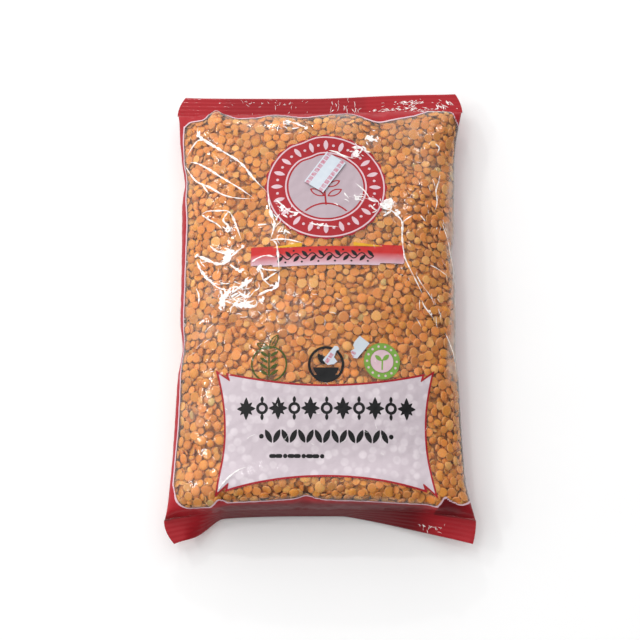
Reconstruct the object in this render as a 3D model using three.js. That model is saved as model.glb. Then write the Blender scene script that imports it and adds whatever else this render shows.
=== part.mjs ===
// A sealed clear film bag of split red lentils, lying on its back with the printed face up.
// Millimetres: X across the bag, Y from the bottom seal to the top seal, Z up out of the printed face.
// The origin is under the middle of the bag, on the surface that it lies on.
//
// The film is a flat tube, so every section through the filled part has the same girth:
// where the contents are thick the bag is narrow, and where it is thin the bag is wide.
// A place on the film is given by u, the film length round the bag from the middle of the
// front towards +X, and by v, the station along the bag.

import * as THREE from "three";

// Film
const FLAT_WIDTH = 165;
const GIRTH = 2 * FLAT_WIDTH;
const SEAL_WIDTH = 12;
const SEAL_THICKNESS = 1.2;
const RIB_COUNT = 5;
const RIB_HEIGHT = 0.6;

// The two ends: seal line, the wall of contents behind it, and how far the underside lifts
const BOTTOM = { sealY: -113.6, sealZ: 14, wallDepth: 22, pull: 5.6, pullPower: 3, skew: 0 };
const TOP = { sealY: 111, sealZ: 15, wallDepth: 30, pull: 0.6, pullPower: 4, skew: 2.3 };
const WALL_HEIGHT = 29;
const WALL_TILT = 78;
const UNDERSIDE_REACH = 35;
const PULL_REACH = 32;

// The filled middle
const SWELL_HEIGHT = 14;
const SWELL_LENGTH = 125;
const BASE_SINK = 1;
const BODY_SHIFT = -1;
const BODY_SHIFT_REACH = 20;
const FRONT_CURVE = 2.05;
const BACK_CURVE = 3;
const CROWN_SHARE = 0.55;
const LUMP_HEIGHT = 0.9;
const LUMP_REACH = 30;

// A seal is a little wavy, so it spans less than the flat film
const SEAL_WAVE_LOSS = 0.029;
const SEAL_WAVE_REACH = 24;

// The bottom seal strip hangs down in the middle and turns out flat at its two ears
const HANG_ANGLE = 79;
const EAR_ANGLE = 8;
const LEFT_EAR_START = 50;
const LEFT_EAR_TURN = 21;
const RIGHT_EAR_START = 12;
const RIGHT_EAR_TURN = 66;
const RIGHT_EAR_POWER = 1.15;
const TOP_DROOP = 5;

// Slant of the seal strips' short sides, as a share of the strip's width
const CORNER_START = 66;
const CORNER_END = 80;
const CORNER_POWER = 1.5;
const SLANT = {
  bottom: { left: 0.45, right: 0.15 },
  top: { left: 0.34, right: 0.3 },
};

// Dents in the long sides: station, depth and spread
const DENTS = {
  left: [{ at: -25, depth: 2, spread: 10 }, { at: 70, depth: 1.6, spread: 8 }],
  right: [{ at: -25, depth: 0.8, spread: 10 }, { at: 29, depth: 1.4, spread: 8 }],
};
const DENT_POWER = 6;

// Pleats that run from a seal into the front: place on the seal, lean, height, spread and reach
const PLEATS = {
  bottom: [
    { at: -55, lean: 0.1, height: 2.2, spread: 4, reach: 26 },
    { at: -7, lean: -0.05, height: -1.6, spread: 4, reach: 24 },
    { at: 61, lean: -0.1, height: 2.4, spread: 4.5, reach: 34 },
  ],
  top: [
    { at: -59, lean: 0.12, height: 1.8, spread: 4, reach: 26 },
    { at: 32, lean: 0.1, height: -1.6, spread: 4, reach: 22 },
    { at: 72, lean: -0.1, height: 1.4, spread: 4, reach: 22 },
  ],
};
const PLEAT_START = 4;
const PLEAT_POWER = 1.5;
const FOLD_FREE_EDGE = 0.2;

// Mesh steps
const COLUMNS = 68;
const WALL_ROWS = 8;
const MIDDLE_ROWS = 36;
const FIRST_WALL_STEP = 0.14;
const SECTION_STEPS = 360;

// Paper on the film
const PAPER_THICKNESS = 0.4;
const PAPER_GAP = 0.35;
const LABEL = { length: 22, width: 12, x: 2.7, y: 68.6, turn: 56.5 };
const LEFT_SCRAP = [
  [1.4, -35.5], [7.4, -28.3], [9.1, -28.5], [9.8, -30.1],
  [8.4, -30.7], [7.1, -34.1], [8.8, -36.2], [7.1, -37.6], [3.9, -38],
];
const RIGHT_SCRAP = [
  [20.3, -23], [25.3, -26.8], [18.9, -34.6], [16.7, -34.3],
  [15.6, -31], [17.6, -29.6], [16.9, -27.8], [17.7, -25.9],
];

const part = (t) => Math.min(Math.max(t, 0), 1);
const smooth = (t) => part(t) ** 2 * (3 - 2 * part(t));
const easeOut = (t) => 1 - (1 - part(t)) ** 2;
const quarterRound = (t) => Math.sqrt(easeOut(t));
const bell = (t) => Math.exp(-t * t);
const radians = THREE.MathUtils.degToRad;
const signedPower = (value, power) => Math.sign(value) * Math.abs(value) ** power;

const fromBottom = (v) => v - BOTTOM.sealY;
const fromTop = (v) => TOP.sealY - v;
const fromSeal = (v) => Math.min(fromBottom(v), fromTop(v));

// Thickness of the bag at a station: steep end walls, and a slow swell between them
function thicknessAt(v) {
  const walls = quarterRound(fromBottom(v) / BOTTOM.wallDepth) * quarterRound(fromTop(v) / TOP.wallDepth);
  const swell = easeOut(fromBottom(v) / SWELL_LENGTH) * easeOut(fromTop(v) / SWELL_LENGTH);
  return SEAL_THICKNESS + WALL_HEIGHT * walls + SWELL_HEIGHT * swell;
}

// Height of the underside, which lifts to the seals and is pressed flat between them
function undersideAt(v) {
  const lift = (end, away) => (end.sealZ - SEAL_THICKNESS / 2) * (1 - part(away / UNDERSIDE_REACH)) ** 2;
  const sink = BASE_SINK * smooth(fromBottom(v) / UNDERSIDE_REACH) * smooth(fromTop(v) / UNDERSIDE_REACH);
  return lift(BOTTOM, fromBottom(v)) + lift(TOP, fromTop(v)) - sink;
}

// One closed section: a rounded outline, fuller below than above, with its running length
function sectionOutline(halfWidth, thickness) {
  const points = [];
  let length = 0;
  for (let step = 0; step <= SECTION_STEPS; step += 1) {
    const turn = (2 * Math.PI * step) / SECTION_STEPS;
    const up = Math.cos(turn);
    const curve = up >= 0 ? FRONT_CURVE : BACK_CURVE;
    const tall = thickness * (up >= 0 ? CROWN_SHARE : 1 - CROWN_SHARE);
    const x = halfWidth * signedPower(Math.sin(turn), 2 / curve);
    const z = thickness * (1 - CROWN_SHARE) + tall * signedPower(up, 2 / curve);
    if (step > 0) {
      const last = points[step - 1];
      length += Math.hypot(x - last.x, z - last.z);
    }
    points.push({ x, z, length });
  }
  return points;
}

// The half width that gives a section of this thickness the film's girth
function halfWidthFor(thickness) {
  let low = FLAT_WIDTH / 8;
  let high = FLAT_WIDTH / 2;
  for (let halving = 0; halving < 20; halving += 1) {
    const middle = (low + high) / 2;
    const tooLong = sectionOutline(middle, thickness)[SECTION_STEPS].length > GIRTH;
    if (tooLong) {
      high = middle;
    } else {
      low = middle;
    }
  }
  return (low + high) / 2;
}

// The section at a station, kept once worked out, ready to be asked for places on it
const sections = new Map();

function sectionAt(v) {
  if (!sections.has(v)) {
    const halfWidth = halfWidthFor(thicknessAt(v));
    const points = sectionOutline(halfWidth, thicknessAt(v));
    sections.set(v, { halfWidth, points, underside: undersideAt(v) });
  }
  return sections.get(v);
}

// The place on a section at film length u round it
function placeOnSection(section, u) {
  const { points, halfWidth, underside } = section;
  const turns = u / GIRTH - Math.floor(u / GIRTH);
  const wanted = turns * points[SECTION_STEPS].length;
  let step = 1;
  while (step < SECTION_STEPS && points[step].length < wanted) {
    step += 1;
  }
  const before = points[step - 1];
  const after = points[step];
  const share = part((wanted - before.length) / (after.length - before.length));
  const x = before.x + (after.x - before.x) * share;
  const z = before.z + (after.z - before.z) * share;
  const isFront = turns < 0.25 || turns > 0.75;
  return { x, z: z + underside, across: x / halfWidth, isFront };
}

// How far the seal line of one end lies from its straight line, at a place across the bag
function sealShift(end, x, across) {
  const pulled = end.pull * (1 - Math.abs(across) ** end.pullPower);
  const inwards = end === BOTTOM ? pulled : -pulled;
  return inwards + end.skew * smooth((x + 10) / 70);
}

// Low swells of the contents under the film
function lumps(x, y) {
  const broad = Math.sin(x / 19 + 0.6) * Math.sin(y / 27 + 1.1);
  const short = 0.6 * Math.sin(x / 11 - y / 23) * Math.sin(y / 13 + x / 31 + 2);
  return LUMP_HEIGHT * (broad + short);
}

// The pleats that one seal presses into the front
function pleatHeight(pleats, x, away) {
  let height = 0;
  for (const pleat of pleats) {
    const line = pleat.at + pleat.lean * away;
    const fade = (1 - part(away / pleat.reach)) ** PLEAT_POWER * smooth(away / PLEAT_START);
    height += pleat.height * bell((x - line) / pleat.spread) * fade;
  }
  return height;
}

// How far the front stands proud of the plain form
function frontRelief(x, across, v) {
  const inner = smooth((1 - Math.abs(across)) / FOLD_FREE_EDGE);
  const open = smooth(fromBottom(v) / LUMP_REACH) * smooth(fromTop(v) / LUMP_REACH);
  const pleats = pleatHeight(PLEATS.bottom, x, fromBottom(v)) + pleatHeight(PLEATS.top, x, fromTop(v));
  return inner * (lumps(x, v) * open + pleats);
}

// How far a long side is pressed in at a station
function dentDepth(dents, v) {
  return dents.reduce((sum, dent) => sum + dent.depth * bell((v - dent.at) / dent.spread), 0);
}

// A place on the filled part of the bag
function bodyPoint(section, u, v) {
  const { x, z, across, isFront } = placeOnSection(section, u);
  const nearBottom = (1 - part(fromBottom(v) / PULL_REACH)) ** 2;
  const nearTop = (1 - part(fromTop(v) / PULL_REACH)) ** 2;
  const waves = SEAL_WAVE_LOSS * (1 - part(fromSeal(v) / SEAL_WAVE_REACH)) ** 2;
  const wavyX = x * (1 - waves);
  const dents = across < 0 ? DENTS.left : DENTS.right;
  const dent = -Math.sign(across) * Math.abs(across) ** DENT_POWER * dentDepth(dents, v);
  const shift = BODY_SHIFT * smooth(fromSeal(v) / BODY_SHIFT_REACH);
  const sealY = nearBottom * sealShift(BOTTOM, x, across) + nearTop * sealShift(TOP, x, across);
  const relief = isFront ? frontRelief(wavyX + shift + dent, across, v) : 0;
  const lean = part(1 - fromTop(v) / TOP.wallDepth) - part(1 - fromBottom(v) / BOTTOM.wallDepth);
  const tilt = radians(WALL_TILT * lean);
  return new THREE.Vector3(
    wavyX + shift + dent,
    v + sealY + relief * Math.sin(tilt),
    Math.max(z + relief * Math.cos(tilt), 0),
  );
}

// How steeply the bottom seal strip hangs at a place across it
function hangAngle(x) {
  const left = smooth((-x - LEFT_EAR_START) / LEFT_EAR_TURN);
  const right = part((x - RIGHT_EAR_START) / RIGHT_EAR_TURN) ** RIGHT_EAR_POWER;
  return radians(HANG_ANGLE + (EAR_ANGLE - HANG_ANGLE) * Math.max(left, right));
}

// A place on a seal strip, s from its seal line: pressed ribs run along the strip
function sealPoint(end, section, u, s) {
  const { x, z, across } = placeOnSection(section, u);
  const isBottom = end === BOTTOM;
  const wavyX = x * (1 - SEAL_WAVE_LOSS);
  const angle = isBottom ? hangAngle(wavyX) : radians(TOP_DROOP);
  const outwards = isBottom ? -1 : 1;
  const face = (z - end.sealZ) / (SEAL_THICKNESS / 2);
  const rib = (RIB_HEIGHT / 2) * (1 - Math.cos((RIB_COUNT * 2 * Math.PI * s) / SEAL_WIDTH));
  const offset = face * (SEAL_THICKNESS / 2) + rib;
  const slants = isBottom ? SLANT.bottom : SLANT.top;
  const slant = wavyX < 0 ? slants.left : slants.right;
  const corner = part((Math.abs(wavyX) - CORNER_START) / (CORNER_END - CORNER_START)) ** CORNER_POWER;
  return new THREE.Vector3(
    wavyX - Math.sign(wavyX) * slant * (s * s / SEAL_WIDTH) * corner,
    end.sealY + sealShift(end, x, across) + outwards * (s * Math.cos(angle) + offset * Math.sin(angle)),
    end.sealZ - s * Math.sin(angle) + offset * Math.cos(angle),
  );
}

// One ring of places round the film
function ringOf(placeAt) {
  return Array.from({ length: COLUMNS }, (_, column) => placeAt((column * GIRTH) / COLUMNS));
}

function sealRings(end) {
  const section = sectionAt(end.sealY);
  const count = 2 * RIB_COUNT;
  const steps = Array.from({ length: count + 1 }, (_, row) => (row * SEAL_WIDTH) / count);
  return steps.map((s) => ringOf((u) => sealPoint(end, section, u, s)));
}

// Stations of the body's rings: even steps up the two walls, even steps between them
function bodyStations() {
  const wall = Array.from({ length: WALL_ROWS }, (_, row) => {
    const rise = FIRST_WALL_STEP + ((1 - FIRST_WALL_STEP) * row) / (WALL_ROWS - 1);
    return 1 - Math.cos((rise * Math.PI) / 2);
  });
  const low = wall.map((share) => BOTTOM.sealY + BOTTOM.wallDepth * share);
  const high = wall.map((share) => TOP.sealY - TOP.wallDepth * share).reverse();
  const span = high[0] - low[WALL_ROWS - 1];
  const middle = Array.from({ length: MIDDLE_ROWS }, (_, row) => {
    return low[WALL_ROWS - 1] + (span * (row + 1)) / (MIDDLE_ROWS + 1);
  });
  return [...low, ...middle, ...high];
}

function bodyRings() {
  return bodyStations().map((v) => {
    const section = sectionAt(v);
    return ringOf((u) => bodyPoint(section, u, v));
  });
}

// Join rings, in order along +Y, into one closed body with a flat strip at each end
function skinOver(rings) {
  const positions = rings.flat().flatMap((place) => place.toArray());
  const index = [];
  const vertex = (row, column) => row * COLUMNS + ((column + COLUMNS) % COLUMNS);
  for (let row = 0; row < rings.length - 1; row += 1) {
    for (let column = 0; column < COLUMNS; column += 1) {
      const a = vertex(row, column);
      const b = vertex(row, column + 1);
      const c = vertex(row + 1, column + 1);
      const d = vertex(row + 1, column);
      index.push(a, b, c, a, c, d);
    }
  }
  const edge = COLUMNS / 4;
  for (let k = 0; k < COLUMNS / 2; k += 1) {
    for (const [row, flip] of [[0, true], [rings.length - 1, false]]) {
      const back = vertex(row, edge + k);
      const nextBack = vertex(row, edge + k + 1);
      const front = vertex(row, edge - k);
      const nextFront = vertex(row, edge - k - 1);
      const corners = [[back, nextBack, nextFront], [back, nextFront, front]];
      for (const triangle of corners) {
        if (new Set(triangle).size === 3) {
          index.push(...(flip ? [...triangle].reverse() : triangle));
        }
      }
    }
  }
  const geometry = new THREE.BufferGeometry();
  geometry.setAttribute("position", new THREE.Float32BufferAttribute(positions, 3));
  geometry.setIndex(index);
  geometry.computeVertexNormals();
  return geometry;
}

function bagGeometry() {
  const bottomRings = sealRings(BOTTOM).reverse();
  return skinOver([...bottomRings, ...bodyRings(), ...sealRings(TOP)]);
}

// Height of the front film over a place in plan, found by walking the film until it is above it
function frontHeight(x, y) {
  let u = x;
  let v = y;
  let place = new THREE.Vector3();
  for (let round = 0; round < 5; round += 1) {
    place = bodyPoint(sectionAt(v), u, v);
    u += x - place.x;
    v += y - place.y;
  }
  return place.z;
}

// Bend a flat piece of paper, made about z = 0 upwards, to lie just clear of the film
function layOnFilm(geometry) {
  const position = geometry.attributes.position;
  for (let index = 0; index < position.count; index += 1) {
    const height = frontHeight(position.getX(index), position.getY(index));
    position.setZ(index, position.getZ(index) + height + PAPER_GAP);
  }
  geometry.computeVertexNormals();
  return geometry;
}

function labelGeometry() {
  const geometry = new THREE.BoxGeometry(LABEL.length, LABEL.width, PAPER_THICKNESS, 8, 5, 1);
  geometry.rotateZ(radians(LABEL.turn));
  geometry.translate(LABEL.x, LABEL.y, PAPER_THICKNESS / 2);
  return layOnFilm(geometry);
}

function scrapGeometry(outline) {
  const shape = new THREE.Shape(outline.map(([x, y]) => new THREE.Vector2(x, y)));
  return layOnFilm(new THREE.ExtrudeGeometry(shape, { depth: PAPER_THICKNESS, bevelEnabled: false }));
}

function namedMesh(name, geometry, material) {
  const mesh = new THREE.Mesh(geometry, material);
  mesh.name = name;
  return mesh;
}

const filmedLentils = () => new THREE.MeshStandardMaterial({ color: "#c98351", roughness: 0.25, metalness: 0 });
const paper = () => new THREE.MeshStandardMaterial({ color: "#e4ebf2", roughness: 0.7, metalness: 0 });

const lentilBag = new THREE.Group();
lentilBag.add(namedMesh("bag", bagGeometry(), filmedLentils()));
lentilBag.add(namedMesh("price_label", labelGeometry(), paper()));
lentilBag.add(namedMesh("label_scrap_left", scrapGeometry(LEFT_SCRAP), paper()));
lentilBag.add(namedMesh("label_scrap_right", scrapGeometry(RIGHT_SCRAP), paper()));

export default lentilBag;
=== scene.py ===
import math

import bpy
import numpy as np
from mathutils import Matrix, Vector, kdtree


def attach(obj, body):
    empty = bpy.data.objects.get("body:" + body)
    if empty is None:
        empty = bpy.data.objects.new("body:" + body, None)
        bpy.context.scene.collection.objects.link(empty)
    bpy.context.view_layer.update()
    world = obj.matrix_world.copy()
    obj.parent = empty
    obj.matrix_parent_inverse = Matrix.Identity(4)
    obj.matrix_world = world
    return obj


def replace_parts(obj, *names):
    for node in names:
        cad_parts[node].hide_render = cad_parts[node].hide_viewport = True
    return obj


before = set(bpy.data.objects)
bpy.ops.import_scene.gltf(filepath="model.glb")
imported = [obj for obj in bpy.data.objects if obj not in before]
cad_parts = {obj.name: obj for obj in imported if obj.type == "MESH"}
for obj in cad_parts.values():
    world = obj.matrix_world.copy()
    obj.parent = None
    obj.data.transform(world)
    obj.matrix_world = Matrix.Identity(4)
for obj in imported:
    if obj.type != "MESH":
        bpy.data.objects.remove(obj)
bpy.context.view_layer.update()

# A clear film bag of split red lentils, lying on its back with the printed face up.
# Millimetres are used throughout and turned to metres when a mesh is made.
# A place on the film is given by u, the film length round the bag from the middle of the
# front towards +X, and by m, the length along the middle of the front from the bottom seal line.

MM = 0.001
SEED = 20

# Bag form, with the same driving sizes as the solid
FLAT_WIDTH = 165
GIRTH = 2 * FLAT_WIDTH
SIDE_FOLD = GIRTH / 4
SEAL_WIDTH = 12
SEAL_THICKNESS = 0.5
EDGE_TAPER = 0.4
RIB_COUNT = 5
RIB_HEIGHT = 0.16
BOTTOM = {"seal_y": -113.6, "seal_z": 14, "wall_depth": 22, "pull": 5.6, "pull_power": 3, "skew": 0}
TOP = {"seal_y": 111, "seal_z": 15, "wall_depth": 30, "pull": 0.6, "pull_power": 4, "skew": 2.3}
WALL_HEIGHT = 29.7
WALL_TILT = 78
UNDERSIDE_REACH = 35
PULL_REACH = 32
SWELL_HEIGHT = 14
SWELL_LENGTH = 125
BASE_SINK = 1
BODY_SHIFT = -1
BODY_SHIFT_REACH = 20
FRONT_CURVE = 2.05
BACK_CURVE = 3
CROWN_SHARE = 0.55
LUMP_HEIGHT = 0.9
LUMP_REACH = 30
SEAL_WAVE_LOSS = 0.029
SEAL_WAVE_REACH = 24
HANG_ANGLE = 79
EAR_ANGLE = 8
LEFT_EAR_START = 50
LEFT_EAR_TURN = 21
RIGHT_EAR_START = 12
RIGHT_EAR_TURN = 66
RIGHT_EAR_POWER = 1.15
TOP_DROOP = 5
CORNER_START = 66
CORNER_END = 80
CORNER_POWER = 1.5
SLANT = {"bottom": {"left": 0.45, "right": 0.15}, "top": {"left": 0.34, "right": 0.3}}
DENTS = {"left": [(-25, 2, 10), (70, 1.6, 8)], "right": [(-25, 0.8, 10), (29, 1.4, 8)]}
DENT_POWER = 6
PLEATS = {
    "bottom": [(-55, 0.1, 2.2, 4, 26), (-7, -0.05, -1.6, 4, 24), (61, -0.1, 2.4, 4.5, 34)],
    "top": [(-58, 0.12, 4.4, 3.6, 26), (32, 0.1, -1.6, 4, 22), (71, -0.1, 2.4, 4, 22)],
}
PLEAT_START = 4
PLEAT_POWER = 1.5
FOLD_FREE_EDGE = 0.2
SECTION_STEPS = 720
SEAL_ROWS = 61
WALL_ROWS = 46
BODY_ROWS = 160
TABLE_STEP = 0.75
FILM_INSET = 0.15
INSET_REACH = 6


def part(t):
    return np.clip(t, 0, 1)


def smooth(t):
    return part(t) ** 2 * (3 - 2 * part(t))


def ease_out(t):
    return 1 - (1 - part(t)) ** 2


def bell(t):
    return np.exp(-t * t)


def unit(vectors):
    return vectors / np.maximum(np.linalg.norm(vectors, axis=-1, keepdims=True), 1e-9)


def from_bottom(v):
    return v - BOTTOM["seal_y"]


def from_top(v):
    return TOP["seal_y"] - v


def from_seal(v):
    return np.minimum(from_bottom(v), from_top(v))


# Form of the filled bag

def thickness_at(v):
    """Steep end walls, and a slow swell between them."""
    low_wall = ease_out(from_bottom(v) / BOTTOM["wall_depth"])
    high_wall = ease_out(from_top(v) / TOP["wall_depth"])
    swell = ease_out(from_bottom(v) / SWELL_LENGTH) * ease_out(from_top(v) / SWELL_LENGTH)
    return SEAL_THICKNESS + WALL_HEIGHT * np.sqrt(low_wall * high_wall) + SWELL_HEIGHT * swell


def underside_at(v):
    """The underside lifts to the seals and is pressed flat between them."""
    low = (BOTTOM["seal_z"] - SEAL_THICKNESS / 2) * (1 - part(from_bottom(v) / UNDERSIDE_REACH)) ** 2
    high = (TOP["seal_z"] - SEAL_THICKNESS / 2) * (1 - part(from_top(v) / UNDERSIDE_REACH)) ** 2
    sink = BASE_SINK * smooth(from_bottom(v) / UNDERSIDE_REACH) * smooth(from_top(v) / UNDERSIDE_REACH)
    return low + high - sink


def section_outline(half_width, thickness):
    """Closed rounded outlines, one row each, fuller below than above."""
    turn = np.linspace(0, 2 * np.pi, SECTION_STEPS + 1)
    across = np.sin(turn)[None, :]
    up = np.cos(turn)[None, :]
    curve = np.where(up >= 0, FRONT_CURVE, BACK_CURVE)
    tall = np.where(up >= 0, CROWN_SHARE, 1 - CROWN_SHARE) * thickness[:, None]
    x = half_width[:, None] * np.sign(across) * np.abs(across) ** (2 / curve)
    z = tall * np.sign(up) * np.abs(up) ** (2 / curve)
    return x, z + (1 - CROWN_SHARE) * thickness[:, None]


def running_length(x, z):
    steps = np.hypot(np.diff(x, axis=1), np.diff(z, axis=1))
    return np.concatenate([np.zeros((len(x), 1)), np.cumsum(steps, axis=1)], axis=1)


def half_width_for(thickness):
    """The half width that gives a section of this thickness the film's girth."""
    low = np.full_like(thickness, FLAT_WIDTH / 8)
    high = np.full_like(thickness, FLAT_WIDTH / 2)
    for _ in range(24):
        middle = (low + high) / 2
        too_long = running_length(*section_outline(middle, thickness))[:, -1] > GIRTH
        high = np.where(too_long, middle, high)
        low = np.where(too_long, low, middle)
    return (low + high) / 2


def sections(v, us):
    """Places at film lengths us round the sections at the stations v."""
    thickness = thickness_at(v)
    half_width = half_width_for(thickness)
    outline_x, outline_z = section_outline(half_width, thickness)
    along = running_length(outline_x, outline_z)
    x = np.empty((len(v), len(us)))
    z = np.empty_like(x)
    for row in range(len(v)):
        wanted = np.mod(us, GIRTH) / GIRTH * along[row, -1]
        x[row] = np.interp(wanted, along[row], outline_x[row])
        z[row] = np.interp(wanted, along[row], outline_z[row])
    return x, z + underside_at(v)[:, None], x / half_width[:, None]


def seal_shift(end, x, across):
    """How far the seal line of one end lies from its straight line."""
    pulled = end["pull"] * (1 - np.abs(across) ** end["pull_power"])
    inwards = pulled if end is BOTTOM else -pulled
    return inwards + end["skew"] * smooth((x + 10) / 70)


def lumps(x, y):
    """Low swells of the contents under the film."""
    broad = np.sin(x / 19 + 0.6) * np.sin(y / 27 + 1.1)
    short = 0.6 * np.sin(x / 11 - y / 23) * np.sin(y / 13 + x / 31 + 2)
    return LUMP_HEIGHT * (broad + short)


def pleat_height(pleats, x, away):
    """The pleats that one seal presses into the front."""
    height = 0
    for at, lean, tall, spread, reach in pleats:
        line = at + lean * away
        fade = (1 - part(away / reach)) ** PLEAT_POWER * smooth(away / PLEAT_START)
        height = height + tall * bell((x - line) / spread) * fade
    return height


def front_relief(x, across, v):
    """How far the front stands proud of the plain form."""
    inner = smooth((1 - np.abs(across)) / FOLD_FREE_EDGE)
    open_film = smooth(from_bottom(v) / LUMP_REACH) * smooth(from_top(v) / LUMP_REACH)
    low_pleats = pleat_height(PLEATS["bottom"], x, from_bottom(v))
    high_pleats = pleat_height(PLEATS["top"], x, from_top(v))
    return inner * (lumps(x, v) * open_film + low_pleats + high_pleats)


def dent_depth(dents, v):
    return sum(depth * bell((v - at) / spread) for at, depth, spread in dents)


def body_places(stations, us):
    """Places on the filled part of the bag, one row for each station."""
    x, z, across = sections(stations, us)
    v = stations[:, None]
    near_bottom = (1 - part(from_bottom(v) / PULL_REACH)) ** 2
    near_top = (1 - part(from_top(v) / PULL_REACH)) ** 2
    wavy_x = x * (1 - SEAL_WAVE_LOSS * (1 - part(from_seal(v) / SEAL_WAVE_REACH)) ** 2)
    dents = np.where(across < 0, dent_depth(DENTS["left"], v), dent_depth(DENTS["right"], v))
    dent = -np.sign(across) * np.abs(across) ** DENT_POWER * dents
    shift = BODY_SHIFT * smooth(from_seal(v) / BODY_SHIFT_REACH)
    seal_y = near_bottom * seal_shift(BOTTOM, x, across) + near_top * seal_shift(TOP, x, across)
    is_front = np.abs(us)[None, :] < SIDE_FOLD
    relief = np.where(is_front, front_relief(wavy_x + shift + dent, across, v), 0)
    lean = part(1 - from_top(v) / TOP["wall_depth"]) - part(1 - from_bottom(v) / BOTTOM["wall_depth"])
    tilt = np.radians(WALL_TILT * lean)
    y = v + seal_y + relief * np.sin(tilt)
    return np.stack([wavy_x + shift + dent, y, np.maximum(z + relief * np.cos(tilt), 0)], axis=-1)


def hang_angle(x):
    """How steeply the bottom seal strip hangs at a place across it."""
    left = smooth((-x - LEFT_EAR_START) / LEFT_EAR_TURN)
    right = part((x - RIGHT_EAR_START) / RIGHT_EAR_TURN) ** RIGHT_EAR_POWER
    return np.radians(HANG_ANGLE + (EAR_ANGLE - HANG_ANGLE) * np.maximum(left, right))


def seal_places(end, steps, us):
    """Places on a seal strip, each step measured out from its seal line, with pressed ribs."""
    is_bottom = end is BOTTOM
    x, z, across = sections(np.array([float(end["seal_y"])]), us)
    s = steps[:, None]
    wavy_x = x * (1 - SEAL_WAVE_LOSS)
    angle = hang_angle(wavy_x) if is_bottom else np.radians(TOP_DROOP)
    outwards = -1 if is_bottom else 1
    rib = (RIB_HEIGHT / 2) * (1 - np.cos(RIB_COUNT * 2 * np.pi * s / SEAL_WIDTH))
    offset = (z - end["seal_z"]) * part((SEAL_WIDTH - s) / EDGE_TAPER) + rib
    slants = SLANT["bottom"] if is_bottom else SLANT["top"]
    slant = np.where(wavy_x < 0, slants["left"], slants["right"])
    corner = part((np.abs(wavy_x) - CORNER_START) / (CORNER_END - CORNER_START)) ** CORNER_POWER
    places_x = wavy_x - np.sign(wavy_x) * slant * (s * s / SEAL_WIDTH) * corner
    run = s * np.cos(angle) + offset * np.sin(angle)
    places_y = end["seal_y"] + seal_shift(end, x, across) + outwards * run
    places_z = end["seal_z"] - s * np.sin(angle) + offset * np.cos(angle)
    return np.stack([places_x, places_y, places_z], axis=-1)


class Film:
    """Places on the film in a table, which is read at any u and m."""

    def __init__(self, us, ms, places):
        self.us = us
        self.ms = ms
        self.places = places
        along_u = np.gradient(places, us, axis=1)
        along_m = np.gradient(places, ms, axis=0)
        self.normals = unit(np.cross(along_u, along_m))
        self.tangents = unit(along_u)
        self.scale_m = np.linalg.norm(along_m, axis=-1)

    def corners(self, u, m):
        """The table's cell that holds each place, and the place's share of it each way."""
        column = np.clip(np.searchsorted(self.us, u, side="right") - 1, 0, len(self.us) - 2)
        row = np.clip(np.searchsorted(self.ms, m, side="right") - 1, 0, len(self.ms) - 2)
        share_u = part((u - self.us[column]) / (self.us[column + 1] - self.us[column]))
        share_m = part((m - self.ms[row]) / (self.ms[row + 1] - self.ms[row]))
        return row, column, share_u, share_m

    def read(self, table, u, m):
        row, column, share_u, share_m = self.corners(u, m)
        if table.ndim == 3:
            share_u = share_u[..., None]
            share_m = share_m[..., None]
        low = table[row, column] * (1 - share_u) + table[row, column + 1] * share_u
        high = table[row + 1, column] * (1 - share_u) + table[row + 1, column + 1] * share_u
        return low * (1 - share_m) + high * share_m

    def at(self, u, m, lift=0.0):
        """Places at u and m, lifted off the film along its outward direction."""
        return self.read(self.places, u, m) + lift * unit(self.read(self.normals, u, m))


def plain_film():
    """The film without creases, all the way round and a little past the back's middle."""
    us = np.arange(-FLAT_WIDTH - 3, GIRTH - SIDE_FOLD + 3.1, TABLE_STEP)
    wall = 1 - np.cos(np.linspace(0.02, 1, WALL_ROWS) * np.pi / 2)
    low = BOTTOM["seal_y"] + BOTTOM["wall_depth"] * wall
    high = TOP["seal_y"] - TOP["wall_depth"] * wall[::-1]
    stations = np.concatenate([low, np.linspace(low[-1], high[0], BODY_ROWS)[1:-1], high])
    steps = np.linspace(0, SEAL_WIDTH, SEAL_ROWS)
    bottom_seal = seal_places(BOTTOM, steps, us)[::-1]
    top_seal = seal_places(TOP, steps, us)
    places = np.concatenate([bottom_seal, body_places(stations, us), top_seal])
    middle = places[:, np.argmin(np.abs(us))]
    run = np.concatenate([[0], np.cumsum(np.linalg.norm(np.diff(middle, axis=0), axis=1))])
    ms = run - run[len(steps) - 1]
    film = Film(us, ms, places)
    inset = FILM_INSET * smooth(np.minimum(ms, ms[-len(steps)] - ms) / INSET_REACH)
    film.places = places - inset[:, None, None] * film.normals
    return film


PLAIN = plain_film()
TOP_SEAL_M = PLAIN.ms[-SEAL_ROWS]
FREE_BOTTOM_M = PLAIN.ms[0]
FREE_TOP_M = PLAIN.ms[-1]


# Creases pressed into the film, each a run of places on it, with its widest half width

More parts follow.
